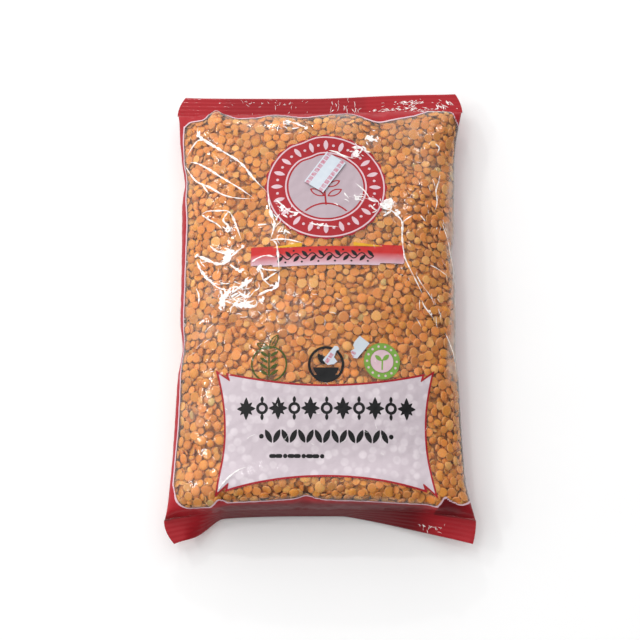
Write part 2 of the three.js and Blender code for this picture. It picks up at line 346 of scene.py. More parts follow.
SHARP_FOLDS = {
    "long fold": (1.0, [(-67.7, 224.5), (-66.7, 219), (-58.9, 212.4), (-43.1, 201), (-34.2, 189.5),
        (-26.6, 181)]),
    "corner fold": (0.6, [(-62.7, 215.3), (-66.5, 215.9), (-70.5, 212.5), (-74.9, 207.5)]),
    "middle fold": (0.75, [(-73, 205), (-67.4, 202.8), (-61.5, 198.8), (-51.8, 191.3), (-42.7, 184.9),
        (-34, 178.2)]),
    "low fold": (0.8, [(-76.8, 203.8), (-69.1, 192.8), (-59, 186.5), (-50.8, 181.1), (-42.6, 178.7),
        (-34, 178.2)]),
    "low branch": (0.55, [(-64.5, 189.9), (-59.4, 182.7)]),
    "beside medallion": (1.0, [(-26.6, 181), (-26, 174.8), (-24.8, 168.5), (-23, 163.5), (-23.5, 159.3),
        (-25.1, 153.9)]),
    "down over banner": (0.7, [(-25.1, 153.6), (-22.3, 152), (-21.2, 147.8), (-20.2, 136.4)]),
    "along banner": (0.5, [(-25.1, 153.6), (-16.8, 153.5), (-7.9, 151.1)]),
    "banner glint": (0.7, [(-35, 141.3), (-31.7, 143.5), (-27.2, 144.8), (-21.7, 143.7)]),
    "arch": (0.85, [(-63.6, 171.2), (-60.4, 172.6), (-54.2, 172.2), (-48.3, 171.4), (-45.3, 167.2),
        (-40.4, 154.1)]),
    "under arch": (0.6, [(-63.6, 171.2), (-58.4, 167.2), (-54, 164.3), (-50.4, 160.3)]),
    "in arch": (0.6, [(-48.3, 171.1), (-50.8, 166.4), (-48.1, 163.1), (-49.2, 160.2), (-45.1, 159.3)]),
    "short glint": (0.8, [(-32, 162.5), (-26.4, 162.8)]),
    "slanted glint": (0.9, [(-18, 159), (-14, 156.4)]),
    "swoop": (1.0, [(-67, 148.8), (-61, 145.6), (-53.5, 141.8), (-48.7, 142.2), (-45.3, 145.8),
        (-38.6, 151.3)]),
    "over swoop": (1.2, [(-58, 152.4), (-53.7, 148.9), (-47.7, 147.4), (-44.2, 147.2)]),
    "swoop branch": (0.8, [(-46.4, 140.8), (-41.7, 137.3), (-38.3, 137.1)]),
    "low swoop": (0.85, [(-66.2, 145.4), (-62.7, 138.7), (-57.5, 132.8), (-51.9, 128.2), (-46.1, 126.9)]),
    "cluster left": (1.2, [(-51.9, 127.6), (-49.5, 122.3), (-49.3, 115.6)]),
    "cluster top": (1.0, [(-46, 124.3), (-41.5, 127.5), (-37, 130.1), (-34.3, 131.7)]),
    "cluster middle": (0.8, [(-44.8, 121.4), (-40.3, 124), (-35.8, 122.6), (-32, 127)]),
    "cluster foot": (1.3, [(-44.8, 119.7), (-40.2, 118.3), (-32.9, 117.4), (-31.3, 120.8)]),
    "cluster right": (0.9, [(-31.4, 123), (-27, 125.2), (-21, 127.8), (-20.2, 135.8)]),
    "sail": (0.7, [(-31.6, 139.4), (-29.3, 135), (-28.2, 131.5), (-24.3, 133.6), (-20.2, 136.4)]),
    "sail top": (0.7, [(-31.6, 139.4), (-27.7, 137.2), (-20.2, 136.4)]),
    "sail foot": (0.5, [(-28.2, 131.5), (-24.8, 128.5), (-21, 128.4)]),
    "left tick": (0.6, [(-65.7, 129.7), (-63.9, 125.5), (-64.1, 120.9)]),
    "over medallion": (0.8, [(5.6, 206.7), (9.5, 205.9), (14.1, 203.5), (19.8, 202.4)]),
    "ring kink": (0.9, [(18.1, 209), (23.8, 208.2), (19.8, 202.4)]),
    "ring foot": (0.6, [(-22.6, 177.1), (-18.7, 173.2), (-14.2, 169.3), (-6.9, 168.4)]),
    "ring foot right": (0.5, [(-4.7, 162.7), (1.4, 160.8), (10.9, 160.2)]),
    "medallion right": (0.6, [(20.1, 186.7), (24.6, 182.2), (28.4, 176.5), (31.8, 176), (32.3, 172.8)]),
    "right fold": (0.95, [(32.3, 172.8), (39.1, 170.7), (42.5, 167.9), (44.8, 164.1), (44.6, 156),
        (45.3, 146)]),
    "right branch": (0.7, [(34.5, 167.4), (39.1, 170.7)]),
    "right twig": (0.4, [(44.8, 164.4), (47.8, 167.1), (50.8, 169.3)]),
    "long right fold": (0.6, [(45.3, 150), (45.8, 144.4), (49.1, 137), (52.5, 130.4), (55.6, 124.7)]),
    "low right fold": (0.7, [(54.7, 121.8), (56.4, 118.3), (61.8, 112.1)]),
    "side wave": (0.45, [(67, 193), (64.8, 185.6), (65.3, 179.5), (63.8, 173)]),
    "side curl": (0.4, [(64.7, 213.7), (67.3, 211.7), (66, 208.6)]),
    "side scratch": (0.3, [(51.4, 136.1), (54.8, 130.6), (59, 125.4), (62.1, 121.2)]),
    "side fleck": (0.4, [(60.1, 141.8), (64, 140.6), (70.1, 137.5), (70.8, 134.7)]),
    "side dash": (0.35, [(55, 169.8), (58, 166.6)]),
    "side crease": (0.35, [(67.7, 167.9), (71.5, 160.4), (75, 153.4), (76.4, 143), (75.5, 130)]),
    "side foot": (0.4, [(68.6, 106.1), (72.5, 99.9), (75, 94.9), (76, 86.2)]),
    "top glint": (0.7, [(-18.9, 226.5), (-13.4, 223.4), (-9.8, 222.3), (-5.6, 219.7)]),
    "foot fold": (0.5, [(-51.6, 23.9), (-46.2, 28.9), (-40.8, 32.8), (-35.5, 35)]),
}

# Painted highlights: bright patches where the film is whitened and bent to the light: middle, length, width
# and turn from +m

GLINTS = [
    ((37.3, 174.8), 7.5, 5.2, 0.9), ((42.2, 169.8), 4.5, 2.6, 0.3), ((28, 214.4), 5, 3.6, -0.9),
    ((-48.3, 144.3), 5.6, 4.4, 0.2), ((-46.2, 148.2), 4.6, 2, 1.5), ((-50.5, 120.5), 9, 3, 0.1),
    ((-38.5, 118.4), 9.5, 3, 1.6), ((-38, 130.2), 5, 3, 1), ((-29, 120.4), 4, 2, 0.2),
    ((-66.7, 219.6), 2.8, 2.4, 0), ((-16.8, 225.2), 3, 1.8, -0.6), ((-6.8, 220.6), 3, 1.6, -0.5),
    ((20.4, 205.6), 4, 2.8, 0.6), ((20.4, 177.6), 4, 2.2, -0.7), ((-19.2, 172), 3.4, 2.2, -0.4),
    ((-11.4, 168.2), 3.6, 1.8, -1), ((1, 161.3), 4, 1.6, 1.4), ((-47.6, 161), 3, 2, 0.5),
    ((-31, 137.8), 3.4, 2, 0.4), ((-22.5, 128.6), 4, 1.4, 1.2), ((59.6, 116), 3, 1, -0.7),
    ((60, 238.2), 5, 1.4, 1.35), ((66, 240), 5, 1.4, 1.4), ((37.5, 239), 3.4, 1.6, 1.5),
    ((-40.6, 137.2), 4.6, 2, 1.5), ((-47.8, 125), 6.5, 3, 0.6), ((-36.2, 131.2), 4, 2.4, 0.9),
    ((-22.9, 127), 4.5, 1.6, 0.9), ((-66, 148.2), 3, 1.4, 1.4), ((-59.6, 135), 8, 1.5, -0.75),
    ((-30.5, 138.8), 3.4, 1.6, 0.4), ((-39.6, 150.6), 4, 1.2, 0.8), ((-62, 111.4), 4, 1.2, 1.1),
]

GLINTS_FROM = 100

# Half width and height of the relief that a sharp fold and a small one press into the film

FOLD_TENT = 2.2
FOLD_RISE = 0.32
SMALL_TENT = 1.5
SMALL_RISE = 0.5
FOLD_SLIMNESS = 0.78


def along(points, step):
    """Evenly spaced places on a smooth curve through the points, in film coordinates."""
    points = np.array(points, float)
    ends = [2 * points[0] - points[1], 2 * points[-1] - points[-2]]
    padded = np.vstack([ends[0], points, ends[1]])
    curve = []
    for before, start, finish, after in zip(padded, padded[1:], padded[2:], padded[3:]):
        count = max(int(np.hypot(*(finish - start)) / step), 1)
        t = (np.arange(count) / count)[:, None]
        cubic = 2 * start + (finish - before) * t + (2 * before - 5 * start + 4 * finish - after) * t ** 2
        curve.append(0.5 * (cubic + (3 * start - before - 3 * finish + after) * t ** 3))
    return np.vstack(curve + [points[-1:]])


def stretch_distance(u, m, start, finish):
    """Distance from each place to one straight stretch."""
    run = finish - start
    share = part(((u - start[0]) * run[0] + (m - start[1]) * run[1]) / max(float(run @ run), 1e-9))
    return np.hypot(u - start[0] - share * run[0], m - start[1] - share * run[1])


def tented(u, m, points, tent, rise):
    """A fold with two flat flanks, fading out at both ends."""
    height = np.zeros_like(u)
    curve = along(points, 2.0)
    for index, (start, finish) in enumerate(zip(curve, curve[1:])):
        middle = (index + 0.5) / (len(curve) - 1)
        tall = rise * smooth(middle / 0.15) * smooth((1 - middle) / 0.25)
        box = (np.abs(u - start[0]) < tent + 3) & (np.abs(m - start[1]) < tent + 3)
        distance = stretch_distance(u[box], m[box], start, finish)
        height[box] = np.maximum(height[box], tall * (1 - part(distance / tent)))
    return height


# Small seeded folds: the patch's middle and spread, count, length, direction, fan and widest half width

CRUMPLES = [
    ((-42, 124), (11, 8), 46, 4.5, 0.35, 1.6, 0.75),
    ((-50, 146), (12, 8), 16, 5, 0.3, 1.0, 0.5),
    ((-48, 161), (4, 3), 10, 2.5, 0, 3, 0.6),
    ((-20, 160), (5, 12), 14, 4, 1.4, 1.2, 0.55),
    ((-15, 170), (8, 4), 12, 3, -0.6, 1.0, 0.6),
    ((20, 207), (6, 5), 12, 3.5, -0.6, 1.2, 0.7),
    ((36, 173), (6, 5), 16, 3, -0.6, 1.6, 0.8),
    ((28, 214), (6, 5), 8, 3, -0.8, 1.0, 0.7),
    ((20, 178), (10, 4), 10, 4, -0.5, 0.8, 0.5),
    ((66, 175), (8, 26), 12, 4, 1.6, 0.7, 0.3),
    ((64, 125), (8, 22), 10, 5, -1.2, 0.5, 0.3),
    ((-14, 222), (14, 5), 12, 3.5, -0.4, 0.8, 0.5),
    ((-55, 105), (14, 16), 10, 5, 0.5, 0.9, 0.3),
    ((0, 120), (55, 40), 16, 3, 0, 3, 0.25),
    ((5, 50), (55, 22), 12, 4, 0, 3, 0.2),
    ((61, 236.5), (11, 1.5), 34, 2.2, 0.2, 0.6, 0.6),
    ((50, 249.5), (22, 1.6), 84, 2, 0.1, 0.5, 0.42),
    ((54, 253.5), (14, 1.6), 56, 1.8, 0.1, 0.7, 0.4),
    ((72, 252), (6, 3), 16, 3, -0.9, 0.6, 0.5),
    ((14, 252), (9, 4), 16, 3.5, 1.5, 0.4, 0.24),
    ((-32, 256), (22, 2), 26, 1.8, 0.5, 1.4, 0.28),
    ((-10, 250), (26, 4), 8, 2.5, 1.2, 0.6, 0.3),
    ((60, -7), (7, 4), 16, 2, -0.8, 1.4, 0.4),
]


def crumple_folds():
    """Short bent folds, each a width and three places on the film."""
    random = np.random.default_rng(SEED)
    folds = []
    for middle, spread, count, length, direction, fan, widest in CRUMPLES:
        for _ in range(count):
            centre = np.array(middle) + random.normal(0, 0.5, 2) * spread
            turn = direction + random.normal(0, 0.5) * fan
            reach = length * random.uniform(0.4, 1.3) / 2
            run = reach * np.array([math.cos(turn), math.sin(turn)])
            bow = random.normal(0, 0.22) * reach * np.array([-math.sin(turn), math.cos(turn)])
            folds.append((random.uniform(0.3, 1) * widest, [centre - run, centre + bow, centre + run]))
    return folds


SMALL_FOLDS = crumple_folds()


def seal_gathers(u, m):
    """Small gathers that fan out from both seals, where the flat strip meets the full bag."""
    random = np.random.default_rng(SEED + 1)
    height = np.zeros_like(u)
    for away in (m, TOP_SEAL_M - m):
        for at in np.arange(-78, 79, 6.5):
            place = at + random.uniform(-2.5, 2.5)
            lean = random.normal(0, 0.12)
            reach = random.uniform(7, 20)
            tall = random.uniform(-0.7, 0.9)
            spread = random.uniform(1.2, 2.4)
            fade = part(away / 2.5) * (1 - part(away / reach)) ** 1.3
            height += tall * bell((u - place - lean * away) / spread) * fade
    return height


def fold_relief(u, m):
    height = np.zeros_like(u)
    for _, points in SHARP_FOLDS.values():
        height = np.maximum(height, tented(u, m, points, FOLD_TENT, FOLD_RISE))
    for width, points in SMALL_FOLDS:
        height = np.maximum(height, tented(u, m, points, SMALL_TENT, SMALL_RISE * width))
    return height + seal_gathers(u, m)


# Lentils, packed from the film inwards

LENTIL_RADIUS = 2.4
LENTIL_RADIUS_SPREAD = 0.33
LENTIL_THICKNESS = 1.28
LENTIL_SIDES = 14
LENTIL_RINGS = [(0.8, 0), (0.95, 0.05), (1, 0.28), (0.88, 0.66), (0.6, 0.92)]
BROKEN_SHARE = 0.08
FILM_GAP = 0.3
CELL = 0.5
LAYER_DEPTHS = [1.3, 2.5, 3.6]
FIRST_COVER = 0.74
FIRST_SPACING = 1.92
FIRST_WOBBLE = 0.17
GAP_WOBBLE = 0.4
DOMED_SHARE = 0.36
STEEPEST_SLOPE = 0.6
CORE_DEPTH = 4.3
CORE_KNOBS = 0.45


def spaced_places(random, count, spacing):
    """Random places over the film, pushed apart until few are nearer than the spacing."""
    low = np.array([-FLAT_WIDTH, 1.0])
    high = np.array([FLAT_WIDTH, TOP_SEAL_M - 1.0])
    places = random.uniform(low, high, (count, 2))
    for _ in range(30):
        tree = kdtree.KDTree(count)
        for index, place in enumerate(places):
            tree.insert((place[0], place[1], 0), index)
        tree.balance()
        push = np.zeros_like(places)
        for index, place in enumerate(places):
            for _, other, distance in tree.find_range((place[0], place[1], 0), spacing):
                if other != index and distance > 1e-6:
                    push[index] += (place - places[other]) / distance * (spacing - distance) / 2
        places = np.clip(places + push, low, high)
    return places


def crown(share):
    """Height of a lentil's domed side over its flat side, as a share of its thickness."""
    return np.sqrt(np.maximum(1 - np.minimum(share, 1) ** 2, 0)) * 0.8 + 0.2


class Packing:
    """Lentils settled against the film, with the depth that is filled so far at each cell."""

    def __init__(self, film):
        self.us = np.arange(-FLAT_WIDTH, FLAT_WIDTH, CELL)
        self.ms = np.arange(0, TOP_SEAL_M, CELL)
        u, m = np.meshgrid(self.us, self.ms)
        turn = np.linalg.norm(np.gradient(film.normals, film.us, axis=1), axis=-1)
        sagitta = part(film.read(turn, u, m) * LENTIL_RADIUS ** 2 / 2) * 1.2
        self.filled = FILM_GAP + sagitta
        self.outer = np.full_like(self.filled, 2.0)
        self.scale = film.read(film.scale_m, u, m)
        self.room = room_under(film, u, m)
        self.kept = []

    def cell_of(self, place):
        column = int((place[0] + FLAT_WIDTH) / CELL) % len(self.us)
        row = min(max(int(place[1] / CELL), 0), len(self.ms) - 1)
        return row, column

    def settle(self, random, place, deepest, wobble):
        """Lay one lentil at a place, as deep as those before it ask, if there is room for it."""
        radius = LENTIL_RADIUS + random.normal(0, LENTIL_RADIUS_SPREAD)
        thick = LENTIL_THICKNESS * random.uniform(0.88, 1.14)
        domed = random.uniform() < DOMED_SHARE
        row, column = self.cell_of(place)
        reach = int(radius / CELL) + 1
        rows = np.clip(np.arange(row - reach, row + reach + 1), 0, len(self.ms) - 1)
        columns = np.arange(column - reach, column + reach + 1) % len(self.us)
        du, dm = np.meshgrid(np.arange(-reach, reach + 1) * CELL, np.arange(-reach, reach + 1) * CELL)
        dm = dm * self.scale[row, column]
        share = np.hypot(du, dm) / radius
        under = share < 1
        window = np.ix_(rows, columns)
        filled = self.filled[window]
        tilt = self.slope(filled[under], du[under], dm[under]) + random.normal(0, wobble, 2)
        plane = tilt[0] * du + tilt[1] * dm
        dome = thick * crown(share)
        outwards = dome if domed else 0 * dome
        inwards = 0 * dome if domed else dome
        depth = float(np.max((filled + outwards - plane)[under]))
        face = depth - (thick if domed else 0)
        if face > deepest or depth + (0 if domed else thick) > self.room[row, column]:
            return False
        self.filled[window] = np.where(under, np.maximum(filled, depth + plane + inwards), filled)
        self.outer[window] = np.where(under, np.minimum(self.outer[window], depth + plane - outwards),
                                      self.outer[window])
        self.kept.append((place[0], place[1], depth, tilt[0], tilt[1], radius, thick, domed))
        return True

    @staticmethod
    def slope(depth, du, dm):
        """Slope of the plane that lies on what is filled, no steeper than a lentil would slide."""
        flat = depth - depth.mean()
        slopes = np.array([(flat * du).sum() / (du ** 2).sum(), (flat * dm).sum() / (dm ** 2).sum()])
        return slopes * min(1, STEEPEST_SLOPE / max(float(np.hypot(*slopes)), 1e-6))

    def fill_gaps(self, random, deepest, wobble):
        """Drop lentils into the places that are still open down to a depth."""
        shut = np.zeros(self.filled.shape, bool)
        for _ in range(9000):
            open_cells = np.flatnonzero((self.filled < deepest) & ~shut & (self.room > deepest))
            if len(open_cells) < 30:
                return
            for cell in random.choice(open_cells, 40):
                row, column = divmod(int(cell), len(self.us))
                if self.filled[row, column] >= deepest or shut[row, column]:
                    continue
                place = np.array([self.us[column], self.ms[row]]) + random.normal(0, 0.4, 2)
                if not self.settle(random, place, deepest + 0.6, wobble):
                    shut[max(row - 1, 0):row + 2, max(column - 1, 0):column + 2] = True


def room_under(film, u, m):
    """Radius of the ball that fits under each place, from the section there."""
    places = film.at(u, m)
    middle = film.at(0 * u, m)
    under = film.at(0 * u + FLAT_WIDTH, m)
    edge = np.abs(film.at(0 * u + SIDE_FOLD, m)[..., 0])
    half_height = np.linalg.norm(middle - under, axis=-1) / 2
    share = part(np.abs(places[..., 0]) / edge)
    return half_height / edge * np.sqrt((half_height * share) ** 2 + edge ** 2 * (1 - share ** 2))


def pack_lentils(film):
    """A first layer of evenly spread lentils, then more in its gaps and below it."""
    random = np.random.default_rng(SEED + 2)
    packing = Packing(film)
    area = GIRTH * TOP_SEAL_M
    count = int(FIRST_COVER * area / (np.pi * LENTIL_RADIUS ** 2))
    for place in spaced_places(random, count, FIRST_SPACING * LENTIL_RADIUS):
        packing.settle(random, place, LAYER_DEPTHS[0], FIRST_WOBBLE)
    for deepest in LAYER_DEPTHS:
        packing.fill_gaps(random, deepest, GAP_WOBBLE)
    return packing


# Making meshes

def mesh_piece(name, points, faces, material, values=None):
    """A piece from points in millimetres and triangles, with named values kept at its points."""
    points = np.asarray(points, float)
    faces = np.asarray(faces, np.int32)
    mesh = bpy.data.meshes.new(name)
    mesh.vertices.add(len(points))
    mesh.vertices.foreach_set("co", (points * MM).ravel())
    mesh.loops.add(faces.size)
    mesh.loops.foreach_set("vertex_index", faces.ravel())
    mesh.polygons.add(len(faces))
    mesh.polygons.foreach_set("loop_start", np.arange(len(faces)) * 3)
    mesh.update(calc_edges=True)
    mesh.validate()
    mesh.shade_smooth()
    for label, numbers in (values or {}).items():
        layer = mesh.attributes.new(label, "FLOAT", "POINT")
        layer.data.foreach_set("value", np.asarray(numbers, np.float32))
    piece = bpy.data.objects.new(name, mesh)
    bpy.context.scene.collection.objects.link(piece)
    piece.data.materials.append(material)
    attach(piece, "root")
    return piece


def grid_faces(rows, columns):
    """Triangles over a table of points, facing out where u runs right and m runs up."""
    index = np.arange(rows * columns).reshape(rows, columns)
    a, b = index[:-1, :-1].ravel(), index[:-1, 1:].ravel()
    c, d = index[1:, 1:].ravel(), index[1:, :-1].ravel()
    return np.concatenate([np.stack([a, b, c], axis=1), np.stack([a, c, d], axis=1)])


def cut_out(field):
    """The part of a grid where the field is below zero, cut straight across the triangles at its edge.

    Gives pairs of grid points, the share of the way from the first to the second, and triangles."""
    flat = field.ravel()
    faces = grid_faces(*field.shape)
    inside = flat[faces] < 0
    count = inside.sum(axis=1)
    pairs = [faces[count == 3][:, :, None].repeat(2, axis=2)]
    for corner in range(3):
        order = [corner, (corner + 1) % 3, (corner + 2) % 3]
        p, q, r = faces[(count == 1) & inside[:, corner]][:, order].T
        pairs.append(np.stack([np.stack([p, p], 1), np.stack([p, q], 1), np.stack([p, r], 1)], axis=1))
        p, q, r = faces[(count == 2) & ~inside[:, corner]][:, order].T
        pairs.append(np.stack([np.stack([p, q], 1), np.stack([q, q], 1), np.stack([r, r], 1)], axis=1))
        pairs.append(np.stack([np.stack([p, q], 1), np.stack([r, r], 1), np.stack([p, r], 1)], axis=1))
    pairs = np.sort(np.concatenate(pairs), axis=2)
    keys = pairs[..., 0].astype(np.int64) * len(flat) + pairs[..., 1]
    unique, index = np.unique(keys.ravel(), return_inverse=True)
    first, second = unique // len(flat), unique % len(flat)
    span = flat[first] - flat[second]
    share = np.where(first == second, 0, flat[first] / np.where(span == 0, 1, span))
    return first, second, part(share), index.reshape(-1, 3)


def finer(lines, low, high, split):
    """The table's own grid lines from low to high, with split steps between each two."""
    first = max(int(np.searchsorted(lines, low)) - 1, 0)
    last = min(int(np.searchsorted(lines, high)) + 1, len(lines) - 1)
    picked = lines[first:last + 1]
    steps = np.arange((len(picked) - 1) * split + 1) / split
    return np.interp(steps, np.arange(len(picked)), picked)


def ink_patch(name, film, box, split, field, layer, material, fade=None):
    """A field of ink printed on the film wherever its field function is below zero."""
    low_u, high_u, low_m, high_m = box
    us = finer(film.us, low_u, high_u, split)
    ms = finer(film.ms, low_m, high_m, split)
    u, m = np.meshgrid(us, ms)
    first, second, share, faces = cut_out(field(u, m))
    flat_u, flat_m = u.ravel(), m.ravel()
    at_u = flat_u[first] * (1 - share) + flat_u[second] * share
    at_m = flat_m[first] * (1 - share) + flat_m[second] * share
    values = {"fade": fade(at_u, at_m)} if fade else None
    return mesh_piece(name, film.at(at_u, at_m, layer * INK_STEP), faces, material, values)


# Flat shapes as fields: below zero inside, and about millimetres from the edge

def disc(u, m, centre, radius):
    return np.hypot(u - centre[0], m - centre[1]) - radius


def ring(u, m, centre, radius, line):
    return np.abs(disc(u, m, centre, radius)) - line / 2


def stroke(u, m, points, line):
    """A line of even width through the points."""
    points = [np.array(point, float) for point in points]
    return np.min([stretch_distance(u, m, a, b) for a, b in zip(points, points[1:])], axis=0) - line / 2


def leaf(u, m, centre, length, width, turn=0.0):
    """A pointed oval with its long axis turned from +m."""
    along_u, along_m = math.sin(turn), math.cos(turn)
    long = (u - centre[0]) * along_u + (m - centre[1]) * along_m
    wide = (u - centre[0]) * along_m - (m - centre[1]) * along_u
    radius = (length ** 2 + width ** 2) / (4 * width)
    return np.hypot(long, np.abs(wide) + radius - width / 2) - radius


def union(*fields):
    return np.min(fields, axis=0)


def common(*fields):
    return np.max(fields, axis=0)


def rounded_box(over_u, over_m, radius):
    """A box with round corners, from how far each place is past its sides."""
    a, b = over_u + radius, over_m + radius
    return np.minimum(np.maximum(a, b), 0) + np.hypot(np.maximum(a, 0), np.maximum(b, 0)) - radius


# The printed design, in film coordinates

INK_STEP = 0.045
WINDOW_RIGHT = 83.0
WINDOW_TOP = [
    (-80, 225), (-76, 225.8), (-73, 228), (-67, 228.6), (-64.5, 230), (-62, 235), (-59.5, 237.6),
    (-56.5, 237.2), (-52.5, 233.5), (-46.5, 229), (-40, 228.6), (-34, 229), (-28, 231.5), (-24, 232),
    (-15, 229.5), (-9, 228.3), (-3, 229.6), (4, 231.2), (11, 232.6), (16, 232.5), (22, 229.3),
    (26.5, 226.4), (31.5, 224.9), (36.6, 225.2), (41.4, 226.2), (46.1, 227.5), (51, 228.9), (56, 231),
    (61, 234.8), (65.5, 238), (69.5, 239.6), (72.5, 239.6), (74.4, 237), (76.1, 232.9), (77.8, 228.7),
    (80.5, 225.8), (84, 223),
]
WINDOW_FOOT = [
    (-80, 34), (-76.2, 28.3), (-74.3, 22.5), (-72, 18.2), (-68.5, 14.9), (-63.7, 13.6), (-57.9, 15),
    (-54.8, 17.2), (-52.2, 19.4), (-49.2, 18.2), (-46.5, 16), (-38.7, 15.8), (-28, 15.9), (-18, 16.8),
    (-11.5, 17.6), (-7.1, 18.8), (-3.4, 18.2), (2, 16.9), (10.9, 16), (27.1, 15.3), (39.1, 14.8),
    (50, 15), (59, 16.2), (62, 19.4), (64.8, 22.3), (68.2, 20.1), (72.9, 18.6), (76.5, 19.8), (84, 24),
]
WINDOW_LEFT = [
    (0, -76.2), (33, -76.2), (44, -75.8), (56, -75), (72, -74.8), (84, -75.4), (95, -76.4),
    (106, -75.3), (118, -74.6), (130, -74.2), (145, -73.9), (160, -73.6), (170, -73.4), (180, -74.4),
    (192, -76), (204, -77), (216, -76.4), (240, -76.2),
]
BACK_WINDOW_TOP = 222
BACK_WINDOW_FOOT = 20
BORDER_LINE = 1.0
BACK_MIDDLE = 169.7
BACK_WINDOW_HALF = 70.8
MEDALLION = (4.2, 184.7)
MEDALLION_RADIUS = 31.3
MEDALLION_STRETCH = 1.035
BEAD_RADIUS = 25.3
BEAD_COUNT = 40
BANNER_TOP = 149.3
BANNER_DEPTH = 10.3
BANNER_RISE = 0.02
ICONS = [(-25.0, 87.5), (4.1, 86.5), (32.8, 88.5)]
SPROUT_RING = 7.75
SPROUT_BEADS = 14
PANEL_MIDDLE = (3.9, 52.9)
BACK_PANEL_HALF = (48.0, 62.0)
BACK_PANEL_M = 122.0
SEEN_UNDER_BORDER = 6.5
SEEN_UNDER_PRINT = 3.5


def past_edge(value, at, points):
    """How far a value is past a smooth edge through the points, square to the edge."""
    curve = along(points, 0.5)
    edge = np.interp(at, curve[:, 0], curve[:, 1])
    slope = np.interp(at, curve[:, 0], np.gradient(curve[:, 1], curve[:, 0] + 1e-6 * np.arange(len(curve))))
    return (value - edge) / np.hypot(1, slope)


def front_window(u, m):
    """The clear window in the red border, whose edge the pleats of the seals pull up and down."""
    above = past_edge(m, u, WINDOW_TOP)
    below = -past_edge(m, u, WINDOW_FOOT)
    left = -past_edge(u, m, WINDOW_LEFT)
    return common(above, below, left, u - WINDOW_RIGHT)


def back_window(u, m):
    across = np.abs(np.mod(u, GIRTH) - BACK_MIDDLE) - BACK_WINDOW_HALF
    return rounded_box(across, common(m - BACK_WINDOW_TOP, BACK_WINDOW_FOOT - m), 4)


def windows(u, m):
    return union(front_window(u, m), back_window(u, m))


def border(u, m):
    return -windows(u, m)


def painted_shade_depth(u, m):
    """How much painted shade darkens the red: most along the foot, over the right ear behind its pleat and
    along the top.
    """
    between_ears = smooth((18 - m) / 8) * (1 - 0.7 * smooth((np.abs(u) - 46) / 20))
    past_pleat = smooth((u - 59.5 - 0.5 * part(m - 13)) / 1.2) * (1 - 0.4 * smooth((u - 68) / 14))
    behind_ear = past_pleat * smooth((m + 1.5) / 1.5) * smooth((30 - m) / 6)
    top_seal = 0.5 * smooth((m - 228) / 8) * smooth((34 - u) / 10) * smooth((u + 68) / 16)
    return 0.9 * np.max([between_ears, behind_ear, top_seal], axis=0)


def border_line(u, m):
    return common(-windows(u, m), windows(u, m) - BORDER_LINE)


def medallion_radius(u, m):
    """Distance from the medallion's middle, measured so that a fold pulls its edge in at one place."""
    over, up = (u - MEDALLION[0]) / MEDALLION_STRETCH, m - MEDALLION[1]
    pulled_in = 0.05 * bell((np.arctan2(up, over) - 2.0) / 0.2)
    return np.hypot(over, up) * (1 + pulled_in)


def medallion_edge(u, m):
    angle = np.arctan2(m - MEDALLION[1], u - MEDALLION[0])
    return medallion_radius(u, m) - MEDALLION_RADIUS - 0.45 * np.cos(28 * angle)


def medallion_lines(u, m):
    """Two pale circles with a row of slim leaves and dots between them."""
    radius = medallion_radius(u, m)
    lines = union(np.abs(radius - 30.1) - 0.4, np.abs(radius - 20.7) - 0.42)
    angle = np.arctan2(m - MEDALLION[1], (u - MEDALLION[0]) / MEDALLION_STRETCH)
    turn = 2 * np.pi / BEAD_COUNT
    number = np.round(angle / turn)
    away = (angle - number * turn) * BEAD_RADIUS
    slim_leaf = leaf(away, radius, (0, BEAD_RADIUS), 6.2, 2.4)
    dot = disc(away, radius, (0, BEAD_RADIUS), 0.75)
    return union(lines, np.where(np.mod(number, 2) == 0, slim_leaf, dot))


def medallion_centre(u, m):
    return medallion_radius(u, m) - 19.3


def medallion_sprig(u, m):
    """A plain sprig with paired leaves over a low mound, drawn in line."""
    cu, cm = MEDALLION
    parts = [stroke(u, m, [(cu, cm - 11), (cu - 0.8, cm - 2), (cu + 0.6, cm + 12)], 0.9)]
    for height, length in [(-6, 9), (-0.5, 8), (5, 6.5), (10, 5)]:
        for side in (-1, 1):
            centre = (cu + side * length * 0.52, cm + height + 2.2)
            oval = leaf(u, m, centre, length, length * 0.42, side * 1.05)
            parts.append(np.abs(oval + 0.35) - 0.35)
    mound = disc(u, m, (cu, cm - 26), 15.5)
    parts.append(common(np.abs(mound) - 0.45, np.abs(u - cu) - 13))
    return common(union(*parts), medallion_centre(u, m) + 1)


def banner_line(u, m):
    """Height over the banner's own middle line, which rises a little to the right."""
    return m - BANNER_TOP - BANNER_RISE * (u - 4)


def banner(u, m):
    """A ribbon in three lengths, the middle one set a little lower."""
    over = banner_line(u, m)
    tails = common(over - 1.2, -BANNER_DEPTH + 1.2 - over, np.abs(u - 5.1) - 40.4, 26.5 - np.abs(u - 5.1))
    middle = common(over, -BANNER_DEPTH - over, np.abs(u - 4.3) - 28)
    return union(tails, middle)


def banner_fade(u, m):
    return part(-banner_line(u, m) / BANNER_DEPTH)


def banner_wedges(u, m):
    """Two thin wedges that stand on the ribbon's upper edge."""
    over = banner_line(u, m)
    left = common(u + 8.5, 0.2 - over, over - 0.6 - 1.9 * part((u + 23) / 14), -23 - u)
    right = common(18.5 - u, 0.2 - over, over - 0.4 - 1.9 * part((34 - u) / 15), u - 34)
    return union(left, right)


